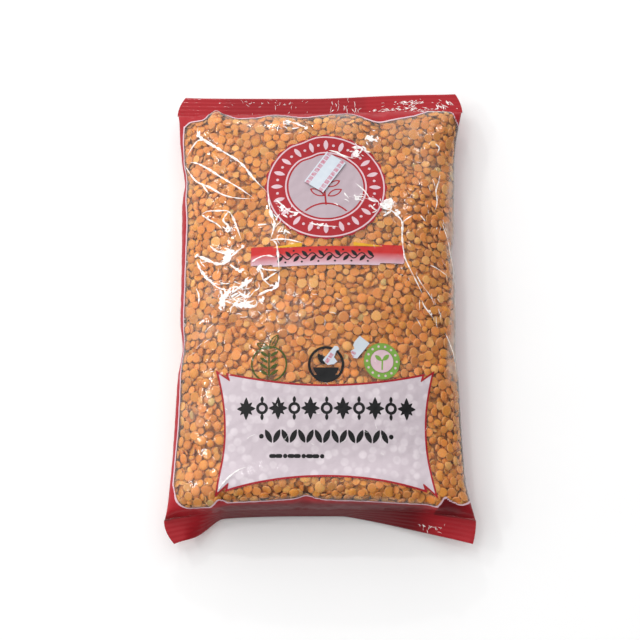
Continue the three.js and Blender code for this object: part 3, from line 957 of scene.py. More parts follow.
def banner_flourish(u, m):
    """A plain running vine: a thin wave with a leaf and a dot in each bend."""
    over = banner_line(u, m) + 5.1
    away = u - 3.5
    bend = 2 * np.pi / 8.6
    vine = np.abs(over - 1.5 * np.sin(away * bend)) / np.hypot(1, 1.5 * bend * np.cos(away * bend)) - 0.3
    parts = [common(vine, np.abs(away) - 25.8)]
    for number in range(-6, 6):
        side = 1 if number % 2 == 0 else -1
        centre = 3.5 + (number + 0.5) * 4.3
        rise = BANNER_TOP + BANNER_RISE * (centre - 4) - 5.1
        parts.append(leaf(u, m, (centre + 0.3, rise - 1.3 * side), 4.6, 1.9, 0.75 * side))
        parts.append(disc(u, m, (centre - 1.2, rise + 3.1 * side), 0.55))
    return union(*parts)


def leaf_icon(u, m):
    """A thin ring with two leaves at its top and a grain ear inside it."""
    cu, cm = ICONS[0]
    parts = [ring(u, m, (cu, cm - 0.8), 8.9, 0.85)]
    leaves = [((cu - 3.2, cm + 8.6), 6.6, 2.8, -1.2), ((cu + 2.4, cm + 10.8), 7.6, 3.2, 0.5)]
    for centre, length, width, turn in leaves:
        parts.append(np.abs(leaf(u, m, centre, length, width, turn)) - 0.3)
        parts.append(leaf(u, m, centre, length * 0.8, 0.5, turn))
    parts.append(stroke(u, m, [(cu, cm - 7.4), (cu, cm + 4.6)], 0.8))
    for height in (-5.2, -2, 1.2, 4.4):
        for side in (-1, 1):
            parts.append(leaf(u, m, (cu + side * 2.6, cm + height), 5.0, 1.6, side * 1.0))
    return union(*parts)


def bowl_icon(u, m):
    """A heavy ring with a bowl and two leaves."""
    cu, cm = ICONS[1]
    bowl = common(disc(u, m, (cu, cm - 0.5), 6.6), m - cm + 1.6)
    band = common(disc(u, m, (cu, cm), 8.6), m - cm + 5.4)
    left = leaf(u, m, (cu - 2.4, cm + 2.6), 6.6, 2.9, -0.55)
    right = leaf(u, m, (cu + 2.7, cm + 2), 5.2, 2.5, 0.8)
    return union(ring(u, m, (cu, cm), 8.6, 1.3), bowl, band, left, right)


def sprout_ring(u, m):
    """A broad ring with a row of open beads."""
    cu, cm = ICONS[2]
    angle = np.arctan2(m - cm, u - cu)
    turn = 2 * np.pi / SPROUT_BEADS
    away = (angle - np.round(angle / turn) * turn) * SPROUT_RING
    bead = np.hypot(away, disc(u, m, (cu, cm), SPROUT_RING)) - 0.62
    return common(ring(u, m, (cu, cm), SPROUT_RING, 3.3), -bead)


def sprout_beads(u, m):
    return common(ring(u, m, ICONS[2], SPROUT_RING, 2.2), -sprout_ring(u, m))


def sprout_centre(u, m):
    return disc(u, m, ICONS[2], 5.9)


def sprout(u, m):
    cu, cm = ICONS[2]
    stem = stroke(u, m, [(cu, cm - 4.2), (cu + 0.2, cm + 0.6)], 0.8)
    left = leaf(u, m, (cu - 1.9, cm + 1.6), 4.4, 2.1, -0.9)
    right = leaf(u, m, (cu + 2.1, cm + 2), 4.6, 2.2, 0.8)
    return union(stem, left, right)


def panel(u, m):
    """A panel with hollow sides and a notched horn at each corner."""
    a = np.abs(u - PANEL_MIDDLE[0])
    b = np.abs(m - PANEL_MIDDLE[1])
    side = a - 51.5 - 4.9 * (b / 31) ** 2
    main = common(b - 22.9 - 6.4 * (a / 50.7) ** 2, a - 49.8 - 0.35 * np.maximum(b - 26.3, 0))
    horn = common(b - 26.3 - 0.7 * (a - 49.8), 44 - a)
    return common(union(main, horn), side)


def panel_edge(u, m):
    return np.abs(panel(u, m)) - 0.5


def large_row(u, m):
    """The large ornament row: four-leaved rosettes and discs in turn."""
    parts = []
    for number in range(11):
        centre = (-36.6 + 8.2 * number, 64.2 + 0.02 * (number - 5))
        if number % 2:
            parts.append(np.abs(disc(u, m, centre, 2.3)) - 0.75)
            parts += [leaf(u, m, (centre[0], centre[1] + rise), 3.4, 1.7) for rise in (-4.4, 4.4)]
        else:
            parts += [leaf(u, m, centre, 11.6, 3.2), leaf(u, m, centre, 9.8, 3.2, math.pi / 2)]
            parts += [leaf(u, m, centre, 9, 2.4, turn) for turn in (0.785, -0.785)]
    return union(*parts)


def middle_row(u, m):
    """The middle ornament row: slanted grains between two dots."""
    parts = [disc(u, m, (end, 50), 1.2) for end in (-28.6, 37.2)]
    for number in range(15):
        parts.append(leaf(u, m, (-25 + 4.2 * number, 50), 7.6, 2.8, 0.45 if number % 2 else -0.45))
    return union(*parts)


def small_row(u, m):
    """The small ornament row: short dashes and dots."""
    parts = []
    for number in range(9):
        start = -23.6 + 3.1 * number
        if number % 3 == 2:
            parts.append(disc(u, m, (start + 0.9, 40), 1.1))
        else:
            parts.append(stroke(u, m, [(start, 40), (start + 1.6, 40)], 2.0))
    return union(*parts)


def back_panel(u, m):
    over_u = np.abs(np.mod(u, GIRTH) - FLAT_WIDTH) - BACK_PANEL_HALF[0]
    return rounded_box(over_u, np.abs(m - BACK_PANEL_M) - BACK_PANEL_HALF[1], 5)


def back_panel_edge(u, m):
    return np.abs(back_panel(u, m)) - 0.8


def back_rows(u, m):
    """Plain rules on the back panel, with a blank square below them."""
    over_u = np.abs(np.mod(u, GIRTH) - FLAT_WIDTH)
    parts = []
    for number in range(8):
        length = 38 - 9 * (number % 3 == 2)
        parts.append(common(np.abs(m - 172 + 7.5 * number) - 0.7, over_u - length))
    parts.append(np.abs(rounded_box(over_u - 22, np.abs(m - 90) - 17, 2)) - 0.4)
    return union(*parts)


def hidden_by_ink(u, m):
    """Below zero where opaque ink covers the film, well inside its edge."""
    covers = union(medallion_edge(u, m), panel(u, m), back_panel(u, m))
    return union(border(u, m) + SEEN_UNDER_BORDER, covers + SEEN_UNDER_PRINT)


# Lentils and core as meshes

LENTIL_KINDS = {
    "lentils_orange": (0.235, "#e98f34"),
    "lentils_tan": (0.23, "#e8983f"),
    "lentils_ochre": (0.21, "#e89834"),
    "lentils_salmon": (0.21, "#f09a49"),
    "lentils_pale": (0.11, "#f4b25f"),
    "lentils_green": (0.006, "#d4b06c"),
}


def lentil_faces():
    """Triangles of one lentil: flat middle, rings out over the rim and up the crown."""
    sides, rings = LENTIL_SIDES, len(LENTIL_RINGS)
    crown_point = 1 + rings * sides
    faces = []
    for k in range(sides):
        after = (k + 1) % sides
        faces.append((0, 1 + after, 1 + k))
        for level in range(rings - 1):
            a, b = 1 + level * sides + k, 1 + level * sides + after
            faces += [(a, b, b + sides), (a, b + sides, a + sides)]
        last = 1 + (rings - 1) * sides
        faces.append((last + k, last + after, crown_point))
    return np.array(faces)


def lentil_points(film, lentils, random):
    """Points of the lentils, each with an uneven outline, and some broken off along a chord."""
    u, m, depth, tilt_u, tilt_m, radius, thick, domed = np.array(lentils, float).T
    count = len(u)
    outward = unit(film.read(film.normals, u, m))
    across = unit(film.read(film.tangents, u, m))
    upward = np.cross(outward, across)
    axis = unit(outward + tilt_u[:, None] * across + tilt_m[:, None] * upward)
    side = unit(np.cross(upward, axis))
    axis = axis * np.where(domed > 0.5, 1, -1)[:, None]
    other = np.cross(axis, side)
    turn = np.arange(LENTIL_SIDES) / LENTIL_SIDES * 2 * np.pi + random.uniform(0, 2 * np.pi, (count, 1))
    oval = random.normal(0, 0.03, (count, 1)) * np.cos(2 * turn)
    lobed = random.normal(0, 0.02, (count, 1)) * np.sin(3 * turn)
    outline = radius[:, None] * (1 + oval + lobed)
    middle = np.zeros((count, 1))
    top = thick[:, None]
    x = np.hstack([middle] + [share * outline * np.cos(turn) for share, _ in LENTIL_RINGS] + [middle])
    y = np.hstack([middle] + [share * outline * np.sin(turn) for share, _ in LENTIL_RINGS] + [middle])
    z = np.hstack([middle] + [rise * top + 0 * turn for _, rise in LENTIL_RINGS] + [top])
    broken = random.uniform(size=count) < BROKEN_SHARE
    chord = np.where(broken, random.uniform(0.1, 0.7, count), 2) * radius
    x = np.minimum(x, chord[:, None])
    base = film.at(u, m) - depth[:, None] * outward
    local = x[..., None] * side[:, None] + y[..., None] * other[:, None] + z[..., None] * axis[:, None]
    return base[:, None] + local


def lentil_piece(name, film, lentils, colour, random):
    points = lentil_points(film, lentils, random)
    count, size = points.shape[:2]
    faces = lentil_faces()[None] + (np.arange(count) * size)[:, None, None]
    rim = np.concatenate([[0], np.repeat([share for share, _ in LENTIL_RINGS], LENTIL_SIDES), [0]])
    dome = np.concatenate([[0], np.repeat([rise for _, rise in LENTIL_RINGS], LENTIL_SIDES), [1]])
    values = {
        "tone": np.repeat(random.uniform(size=count), size),
        "rim": np.tile(rim, count),
        "dome": np.tile(dome, count),
    }
    material = lentil_cotyledon(name, colour)
    return mesh_piece(name, points.reshape(-1, 3), faces.reshape(-1, 3), material, values)


def shown_lentils(packing):
    """The lentils that can be seen past the ink."""
    kept = np.array(packing.kept, float)
    return kept[hidden_by_ink(kept[:, 0], kept[:, 1]) > 0]


def lentil_pieces(film, packing):
    random = np.random.default_rng(SEED + 3)
    shown = shown_lentils(packing)
    kinds = list(LENTIL_KINDS)
    shares = np.array([LENTIL_KINDS[kind][0] for kind in kinds])
    kind_of = random.choice(len(kinds), len(shown), p=shares / shares.sum())
    for number, kind in enumerate(kinds):
        lentil_piece(kind, film, shown[kind_of == number], LENTIL_KINDS[kind][1], random)


def closed_tube(points):
    """Rings of points joined round, and closed at both ends by strips from the front to the back."""
    rows, columns = points.shape[:2]
    last = (rows - 1) * columns
    faces = []
    for row in range(rows - 1):
        for column in range(columns):
            after = (column + 1) % columns
            a, b = row * columns + column, row * columns + after
            faces += [(a, b, b + columns), (a, b + columns, a + columns)]
    for column in range(columns // 4, 3 * columns // 4):
        under, next_under = (columns // 2 - column) % columns, (columns // 2 - column - 1) % columns
        strip = [(column, under, next_under), (column, next_under, column + 1)]
        faces += strip
        faces += [(last + a, last + c, last + b) for a, b, c in strip]
    return points.reshape(-1, 3), faces


def lentil_core(film):
    """The rest of the heap, a knobbly body just under the lentils that show."""
    us = np.arange(-FLAT_WIDTH, FLAT_WIDTH, 2.5)
    ms = np.linspace(10, TOP_SEAL_M - 7, 96)
    u, m = np.meshgrid(us, ms)
    knobs = CORE_KNOBS * np.sin(u * 1.9 + 2 * np.sin(m * 0.7)) * np.sin(m * 1.7 + 2 * np.sin(u * 0.5))
    depth = np.minimum(CORE_DEPTH + knobs, 0.9 * room_under(film, u, m))
    points, faces = closed_tube(film.at(u, m, -depth[..., None]))
    material = lentil_cotyledon("lentils_inner", "#c07c3e")
    return mesh_piece("lentil_core", points, faces, material, {"tone": np.full(len(points), 0.5)})


# Film as meshes

FINE_STEP = 0.6
PLAIN_STEP = 0.9
BACK_STEP = 2.5
SEAL_STEP = 0.4
FOLD_ZONE = {"u": (-77, -14), "m": (112, 228)}
IMPRINT = 0.2
USUAL_IMPRINT = 0.5
DEEPEST_IMPRINT = 1.6


def lines_between(low, high, step):
    return np.linspace(low, high, max(int(round((high - low) / step)), 1) + 1)


def joined(*runs):
    return np.concatenate([runs[0]] + [run[1:] for run in runs[1:]])


def film_rows():
    low, high = FOLD_ZONE["m"]
    return joined(
        lines_between(FREE_BOTTOM_M, 0, SEAL_STEP),
        lines_between(0, low, PLAIN_STEP),
        lines_between(low, high, FINE_STEP),
        lines_between(high, TOP_SEAL_M, PLAIN_STEP),
        lines_between(TOP_SEAL_M, FREE_TOP_M, SEAL_STEP),
    )


def film_columns():
    low, high = FOLD_ZONE["u"]
    return joined(
        lines_between(-SIDE_FOLD, low, PLAIN_STEP),
        lines_between(low, high, FINE_STEP),
        lines_between(high, SIDE_FOLD, PLAIN_STEP),
    )


def blurred(table, cells):
    """The table averaged over a bell a few cells wide, wrapped round the bag."""
    reach = 3 * cells
    weights = bell(np.arange(-reach, reach + 1) / cells)
    weights = weights / weights.sum()
    wide = np.pad(table, ((reach, reach), (reach, reach)), mode="wrap")
    rows = sum(weight * wide[k:k + table.shape[0]] for k, weight in enumerate(weights))
    return sum(weight * rows[:, k:k + table.shape[1]] for k, weight in enumerate(weights))


def imprint_at(packing, u, m):
    """How far the film sinks between the lentils that touch it."""
    sunk = blurred(np.minimum(packing.outer, DEEPEST_IMPRINT), 2)
    column = np.mod(((u + FLAT_WIDTH) / CELL).round().astype(int), len(packing.us))
    row = np.clip((m / CELL).round().astype(int), 0, len(packing.ms) - 1)
    inside = part(m / 3) * part((TOP_SEAL_M - m) / 3)
    return -IMPRINT * (sunk[row, column] - USUAL_IMPRINT) * inside


def worked_film(us, ms, packing, with_folds):
    """The film with its folds, gathers and the lentils' imprint."""
    u, m = np.meshgrid(us, ms)
    relief = imprint_at(packing, u, m)
    if with_folds:
        edge = smooth((SIDE_FOLD - np.abs(u)) / 6)
        body = part((m + 1) / 2) * part((TOP_SEAL_M + 1 - m) / 2)
        relief = relief + fold_relief(u, m) * edge * body
    return Film(us, ms, PLAIN.at(u, m, relief[..., None]))


# Soft pale veils where the film is bunched, partly haze and partly painted sheen: middle, spread and
# strength

VEILS = [
    ((-57, 127), 6, 0.7), ((-61, 108), 7, 0.6), ((-40, 122), 8, 0.9), ((-47, 145), 6, 0.6),
    ((-31, 140), 5, 0.5), ((-24, 160), 5, 0.5), ((30, 213), 5, 0.5), ((37, 173), 6, 0.7),
    ((-14, 223), 6, 0.5), ((-66, 62), 9, 0.4), ((48, 224), 13, 0.6), ((14, 226), 9, 0.5),
    ((60, 200), 12, 0.4), ((-36, 224), 9, 0.4), ((-12, 112), 8, 0.3),
]


def haze_and_painted_sheen(u, m):
    """How much white haze the film gets, partly painted sheen: along the right edge where it stands off the
    lentils, and in its veils.
    """
    inner = 70 + 2.5 * np.sin(m / 17) + 5 * part((m - 165) / 30)
    across = 1.5 * smooth((u - inner) / 3) * smooth((SIDE_FOLD + 6 - u) / 5)
    edge = across * smooth((m - 76) / 12) * smooth((214 - m) / 25)
    veils = [strong * bell(np.hypot(u - at[0], m - at[1]) / spread) for at, spread, strong in VEILS]
    return np.maximum(edge, np.max(veils, axis=0))


def film_piece(name, film, material):
    """One side of the bag's film."""
    u, m = np.meshgrid(film.us, film.ms)
    points = film.places.reshape(-1, 3)
    faces = grid_faces(len(film.ms), len(film.us))
    return mesh_piece(name, points, faces, material, {"haze_and_sheen": haze_and_painted_sheen(u, m).ravel()})


def fold_strip(film, width, points, random):
    """A raised pinch of film along a fold, with uneven width and both ends drawn out."""
    curve = along(points, 0.7)
    count = len(curve)
    run = np.linspace(0, 1, count)
    taper = smooth(run / 0.12) * smooth((1 - run) / 0.3)
    knots = random.uniform(0.15, 1.25, max(count // 2, 2))
    uneven = np.interp(run, np.linspace(0, 1, len(knots)), knots)
    half = FOLD_SLIMNESS * width * taper * uneven + 0.03
    direction = unit(np.gradient(curve, axis=0))
    aside = np.stack([-direction[:, 1], direction[:, 0]], axis=1)
    offsets = np.array([-1, -0.5, 0, 0.5, 1])
    rises = np.array([0, 0.75, 1, 0.75, 0])
    u = curve[:, 0, None] + aside[:, 0, None] * half[:, None] * offsets
    m = curve[:, 1, None] + aside[:, 1, None] * half[:, None] * offsets
    lift = 4 * INK_STEP + 0.2 * half[:, None] * rises
    return film.at(u, m, lift[..., None])


def fold_pinches(film, material):
    """All the sharp folds as narrow raised strips in one piece, in whitened film that paints their
    highlights.
    """
    random = np.random.default_rng(SEED + 4)
    folds = [(width, points) for width, points in SHARP_FOLDS.values()] + SMALL_FOLDS
    points, faces, used = [], [], 0
    for width, places in folds:
        strip = fold_strip(film, width, places, random)
        points.append(strip.reshape(-1, 3))
        faces.append(grid_faces(*strip.shape[:2])[:, ::-1] + used)
        used += strip.shape[0] * strip.shape[1]
    return mesh_piece("film_folds", np.vstack(points), np.vstack(faces), material)


def glint_patches(u, m):
    """Ragged patches of whitened film, painted highlights."""
    ragged = 0.45 * np.sin(2.1 * u + 1.6 * np.sin(1.3 * m)) + 0.45 * np.sin(2.4 * m + 1.9 * np.sin(1.1 * u))
    patches = [leaf(u, m, centre, length, width, turn) for centre, length, width, turn in GLINTS]
    return union(*patches) + ragged


# Materials

FILM_MIRROR = 0.041
FILM_SLANT_HAZE = 0.6
# Glow of the creased film, standing in for glare: a painted highlight.
CREASE_GLARE = 0.14
# Colour that each lentil turns paler to at its rim.
LENTIL_PALE_RIM = "#f2cb9c"
LENTIL_SPOT_SIZE = 5.2
STRIPE_BLOCK = 1.5
STRIPE_GAP = 0.25


def linear(colour):
    """sRGB hex as the linear numbers that shaders take."""
    parts = [int(colour[k:k + 2], 16) / 255 for k in (1, 3, 5)]
    return [c / 12.92 if c <= 0.04045 else ((c + 0.055) / 1.055) ** 2.4 for c in parts] + [1]


def add(tree, kind, inputs, output=0, **settings):
    """Add a node with its settings, set or link its inputs, and give one of its outputs."""
    node = tree.nodes.new("ShaderNode" + kind)
    for name, value in settings.items():
        setattr(node, name, value)
    for name, value in inputs.items():
        if isinstance(value, bpy.types.NodeSocket):
            tree.links.new(value, node.inputs[name])
        else:
            node.inputs[name].default_value = linear(value) if isinstance(value, str) else value
    return node.outputs[output] if len(node.outputs) else None


def new_material(name):
    material = bpy.data.materials.new(name)
    material.use_nodes = True
    material.node_tree.nodes.clear()
    return material, material.node_tree


def finish_material(material, tree, shader):
    add(tree, "OutputMaterial", {"Surface": shader})
    return material


def pattern(tree, size, detail=2.0):
    """Noise with features of a size in millimetres, in the part's own coordinates."""
    where = add(tree, "TexCoord", {}, "Object")
    return add(tree, "TexNoise", {"Vector": where, "Scale": 1 / (size * MM), "Detail": detail})


def patches(tree, size, low, high, detail=2.0):
    """A value that wanders between two others, in patches of a size in millimetres."""
    noise = pattern(tree, size, detail)
    inputs = {"Value": noise, "From Min": 0.3, "From Max": 0.7, "To Min": low, "To Max": high}
    return add(tree, "MapRange", inputs)


def mottled(tree, size, first, second, most, detail=2.0):
    """A colour with some of a second one in it, in patches of a size in millimetres."""
    share = patches(tree, size, 0, most, detail)
    return add(tree, "Mix", {0: share, 6: first, 7: second}, 2, data_type="RGBA")


def uneven(tree, size, height, detail=3.0):
    """The normal of a surface with bumps of a size and height in millimetres."""
    inputs = {"Height": pattern(tree, size, detail), "Distance": height * MM, "Strength": 1.0}
    return add(tree, "Bump", inputs)


def slant(tree, power):
    """Nothing where the surface is seen face on, rising to one where it is seen edge on."""
    facing = add(tree, "LayerWeight", {"Blend": 0.5}, "Facing")
    return add(tree, "Math", {0: facing, 1: power}, operation="POWER")


def kept_value(tree, label):
    """A value that was kept at a mesh's points."""
    return add(tree, "Attribute", {}, "Fac", attribute_name=label)


def clear_film():
    """Cast polypropylene film: clear and glossy, with fine wrinkles, a trace of haze, and more white haze
    along the right edge and in veils, partly painted sheen.
    """
    material, tree = new_material("clear polypropylene film")
    clear = add(tree, "BsdfTransparent", {"Color": "#fdfdfb"})
    gloss = add(tree, "BsdfGlossy", {"Roughness": 0.11, "Normal": uneven(tree, 2.2, 0.12)})
    inputs = {0: slant(tree, 5.0), 1: 1 - FILM_MIRROR, 2: FILM_MIRROR}
    mirrored = add(tree, "Math", inputs, operation="MULTIPLY_ADD")
    surface = add(tree, "MixShader", {0: mirrored, 1: clear, 2: gloss})
    # White haze, partly painted sheen in the veils and along the right edge.
    haze = add(tree, "BsdfDiffuse", {"Color": "#efe6e0"})
    haze_and_sheen = kept_value(tree, "haze_and_sheen")
    inputs = {0: haze_and_sheen, 1: patches(tree, 6, 0.04, 0.26, 3.0), 2: patches(tree, 30, 0.005, 0.03)}
    face_on = add(tree, "Math", inputs, operation="MULTIPLY_ADD")
    inputs = {0: slant(tree, 2.5), 1: FILM_SLANT_HAZE, 2: face_on}
    share = add(tree, "Math", inputs, operation="MULTIPLY_ADD")
    whole = add(tree, "MixShader", {0: share, 1: surface, 2: haze})
    return finish_material(material, tree, whole)


def whitened_film_with_painted_glints():
    """The same film pinched into folds: partly stress-whitened and broken, and painted white with a faint
    glow as painted highlights, so that it shows as white lines.
    """
    material, tree = new_material("creased polypropylene film with painted highlights")
    inputs = {
        # Painted white with a faint glow, as painted highlights.
        "Base Color": "#fffdfa", "Roughness": 0.22, "IOR": 1.6,
        "Emission Color": "#fffdfa", "Emission Strength": CREASE_GLARE,
    }
    white = add(tree, "BsdfPrincipled", inputs)
    clear = add(tree, "BsdfTransparent", {})
    whole = add(tree, "MixShader", {0: patches(tree, 1.3, 0.5, 1.0, 3.0), 1: clear, 2: white})
    return finish_material(material, tree, whole)


def laminated(material, tree, base, coat=0.3):
    """Finish an ink that lies under a gloss laminate with fine wrinkles."""
    normal = uneven(tree, 2.2, 0.12)
    inputs = {
        "Base Color": base, "Roughness": 0.5, "Specular IOR Level": 0.1, "IOR": 1.5, "Normal": normal,
        "Coat Weight": coat, "Coat Roughness": 0.1, "Coat IOR": 1.5, "Coat Normal": normal,
    }
    return finish_material(material, tree, add(tree, "BsdfPrincipled", inputs))


def thin_white_ink(name, ground, spot):
    """White gravure ink printed thin: the lentils that touch the film show through it as soft spots."""
    material, tree = new_material(name)
    where = add(tree, "TexCoord", {}, "Object")
    inputs = {"Vector": where, "Scale": 1 / (LENTIL_SPOT_SIZE * MM), "Randomness": 0.85}
    distance = add(tree, "TexVoronoi", inputs, "Distance")
    inputs = {"Value": distance, "From Min": 0.3, "From Max": 0.52, "To Min": 0.9, "To Max": 0.0}
    round_spots = add(tree, "MapRange", inputs, interpolation_type="SMOOTHSTEP")
    inputs = {0: round_spots, 1: patches(tree, 7, 0.15, 1.0)}
    share = add(tree, "Math", inputs, operation="MULTIPLY")
    base = add(tree, "Mix", {0: share, 6: ground, 7: spot}, 2, data_type="RGBA")
    return laminated(material, tree, base)


def gravure_ink(name, colour, pale, fade_to=None, coat=0.3):
    """Gravure ink under a gloss laminate: an even colour, thinner in places."""
    material, tree = new_material(name)
    base = mottled(tree, 9, colour, pale, 0.12)
    # The second colour is a print fade on the banner and painted shade on the red border.
    if fade_to:
        inputs = {"Value": kept_value(tree, "fade"), "From Min": 0.3, "From Max": 1.0}
        steep = add(tree, "MapRange", inputs)
        base = add(tree, "Mix", {0: steep, 6: base, 7: fade_to}, 2, data_type="RGBA")
    return laminated(material, tree, base, coat)


def shifted(colour, share):
    """A hex colour made lighter or darker by a share."""
    parts = [min(int(int(colour[k:k + 2], 16) * share), 255) for k in (1, 3, 5)]
    return "#%02x%02x%02x" % tuple(parts)


def lentil_cotyledon(name, colour):
    """Split red lentil: dry and matt with a trace of wax, each one its own tone, paler towards the rim."""
    material, tree = new_material(name.replace("_", " "))
    inputs = {0: kept_value(tree, "tone"), 6: shifted(colour, 0.91), 7: shifted(colour, 1.05)}
    base = add(tree, "Mix", inputs, 2, data_type="RGBA")
    inputs = {"Value": kept_value(tree, "rim"), "From Min": 0.86, "From Max": 1.0, "To Max": 0.45}
    pale_rim = add(tree, "MapRange", inputs)
    base = add(tree, "Mix", {0: pale_rim, 6: base, 7: LENTIL_PALE_RIM}, 2, data_type="RGBA")
    inputs = {
        "Base Color": mottled(tree, 0.8, base, shifted(colour, 0.86), 0.3, 4.0),
        "Roughness": 0.62, "IOR": 1.45, "Normal": uneven(tree, 0.9, 0.08),
        "Subsurface Weight": 0.3, "Subsurface Radius": (1.0, 0.45, 0.2), "Subsurface Scale": 1.2 * MM,
    }
    return finish_material(material, tree, add(tree, "BsdfPrincipled", inputs))


# Broken pink stripes on each label: place, turn in degrees, half length and half width

PINK_STRIPES = {
    "price_label": [(-0.76, 70.9, 56.5, 12, 1.15), (6.16, 66.3, 56.5, 12, 1.15)],
    "label_scrap_left": [(4.7, -34.5, 55, 2.8, 0.95)],
    "label_scrap_right": [(16.6, -32.6, 60, 1.6, 1.2)],
}


def stripe_share(tree, x, y, turn, half_length, half_width):
    """One inside a stripe's blocks, and nothing outside them."""
    where = add(tree, "TexCoord", {}, "Object")
    inputs = {"Vector": where, "Location": (x * MM, y * MM, 0), "Rotation": (0, 0, math.radians(turn))}
    turned = add(tree, "Mapping", inputs, vector_type="TEXTURE")
    share = 1.0
    for side, half in (("X", half_length), ("Y", half_width)):
        across = add(tree, "SeparateXYZ", {"Vector": turned}, side)
        away = add(tree, "Math", {0: across}, operation="ABSOLUTE")
        inside = add(tree, "Math", {0: away, 1: half * MM}, operation="LESS_THAN")
        share = add(tree, "Math", {0: share, 1: inside}, operation="MULTIPLY")
    along_stripe = add(tree, "SeparateXYZ", {"Vector": turned}, "X")
    blocks = add(tree, "Math", {0: along_stripe, 1: STRIPE_BLOCK * MM}, operation="PINGPONG")
    solid = add(tree, "Math", {0: blocks, 1: STRIPE_GAP * MM}, operation="GREATER_THAN")
    return add(tree, "Math", {0: share, 1: solid}, operation="MULTIPLY")


def label_paper(name, stripes):
    """Coated label paper with broken pink stripes, rubbed thin in places."""
    material, tree = new_material(name)
    ink = 0.0
    for stripe in stripes:
        inputs = {0: ink, 1: stripe_share(tree, *stripe)}
        ink = add(tree, "Math", inputs, operation="MAXIMUM")
    inputs = {0: ink, 1: patches(tree, 1.2, 0.35, 0.95, 3.0)}
    worn = add(tree, "Math", inputs, operation="MULTIPLY")
    inputs = {0: worn, 6: mottled(tree, 4, "#d5dde5", "#c3cdd9", 0.5), 7: "#c4627c"}
    base = add(tree, "Mix", inputs, 2, data_type="RGBA")
    inputs = {"Base Color": base, "Roughness": 0.5, "Normal": uneven(tree, 0.4, 0.03, 4.0)}
    return finish_material(material, tree, add(tree, "BsdfPrincipled", inputs))


def matt_floor():
    """Matt painted board, very slightly cloudy."""
    material, tree = new_material("matt white board")
    inputs = {0: pattern(tree, 40), 6: "#fdfdfd", 7: "#ffffff"}
    base = add(tree, "Mix", inputs, 2, data_type="RGBA")
    inputs = {"Base Color": base, "Roughness": 0.9}
    return finish_material(material, tree, add(tree, "BsdfPrincipled", inputs))


# Printing the bag

RED = "#a61f28"
THIN_RED = "#b83a42"
# Maroon mixed into the red border as painted shade.
PAINTED_SHADE_MAROON = "#5c1218"


def inks():
    """The inks of the print, each with its slot and what gives how far it fades to its second colour, if it
    does: a print fade on the banner and painted shade on the red border.
    """
    # Red darkened towards maroon as painted shade.
    deepening = gravure_ink("red gravure ink with painted shade", RED, THIN_RED, PAINTED_SHADE_MAROON, coat=0.18)
    fading = gravure_ink("red gravure ink fading to pale", "#c62c2b", "#cc3c39", "#d6bcc8")
    return {
        "red": (gravure_ink("red gravure ink", RED, THIN_RED), "red_print", None),
        "red with painted shade": (deepening, "red_print", painted_shade_depth),
        "fading red": (fading, "red_print", banner_fade),
        "line": (gravure_ink("pale gravure ink line", "#dcbcc4", "#e8d2d6"), "pale_print", None),
        "pale": (gravure_ink("pale gravure ink", "#b9a7af", "#c4b4bb"), "pale_print", None),
        "white": (thin_white_ink("thin white gravure ink", "#cec1c8", "#e6dbe0"), "pale_print", None),
        "yellow": (gravure_ink("yellow gravure ink", "#e3a92b", "#ecc03f"), "pale_print", None),
        "olive": (gravure_ink("olive gravure ink", "#46551c", "#56652a"), "green_print", None),
        "green": (gravure_ink("green gravure ink", "#7aa545", "#8bb157"), "green_print", None),
        "black": (gravure_ink("black gravure ink", "#121214", "#1d1d1f"), "dark_print", None),
    }


def icon_box(centre):
    return centre[0] - 12, centre[0] + 12, centre[1] - 12, centre[1] + 14


# Boxes on the film that hold the parts of the print: from u, to u, from m and to m

FRONT_BOX = (-SIDE_FOLD, SIDE_FOLD, FREE_BOTTOM_M, FREE_TOP_M)
BACK_BOX = (SIDE_FOLD, GIRTH - SIDE_FOLD, FREE_BOTTOM_M, FREE_TOP_M)
MEDALLION_BOX = (MEDALLION[0] - 34, MEDALLION[0] + 34, MEDALLION[1] - 33, MEDALLION[1] + 33)
BANNER_BOX = (-37, 48, 135, 154)
LEAF_BOX, BOWL_BOX, SPROUT_BOX = [icon_box(centre) for centre in ICONS]
PANEL_BOX = (-56, 64, 19, 88)
BACK_PANEL_BOX = (FLAT_WIDTH - 52, FLAT_WIDTH + 52, BACK_PANEL_M - 66, BACK_PANEL_M + 66)

# The print on both sides of the bag: piece, shape, box, steps to each of the film's own, layer and ink

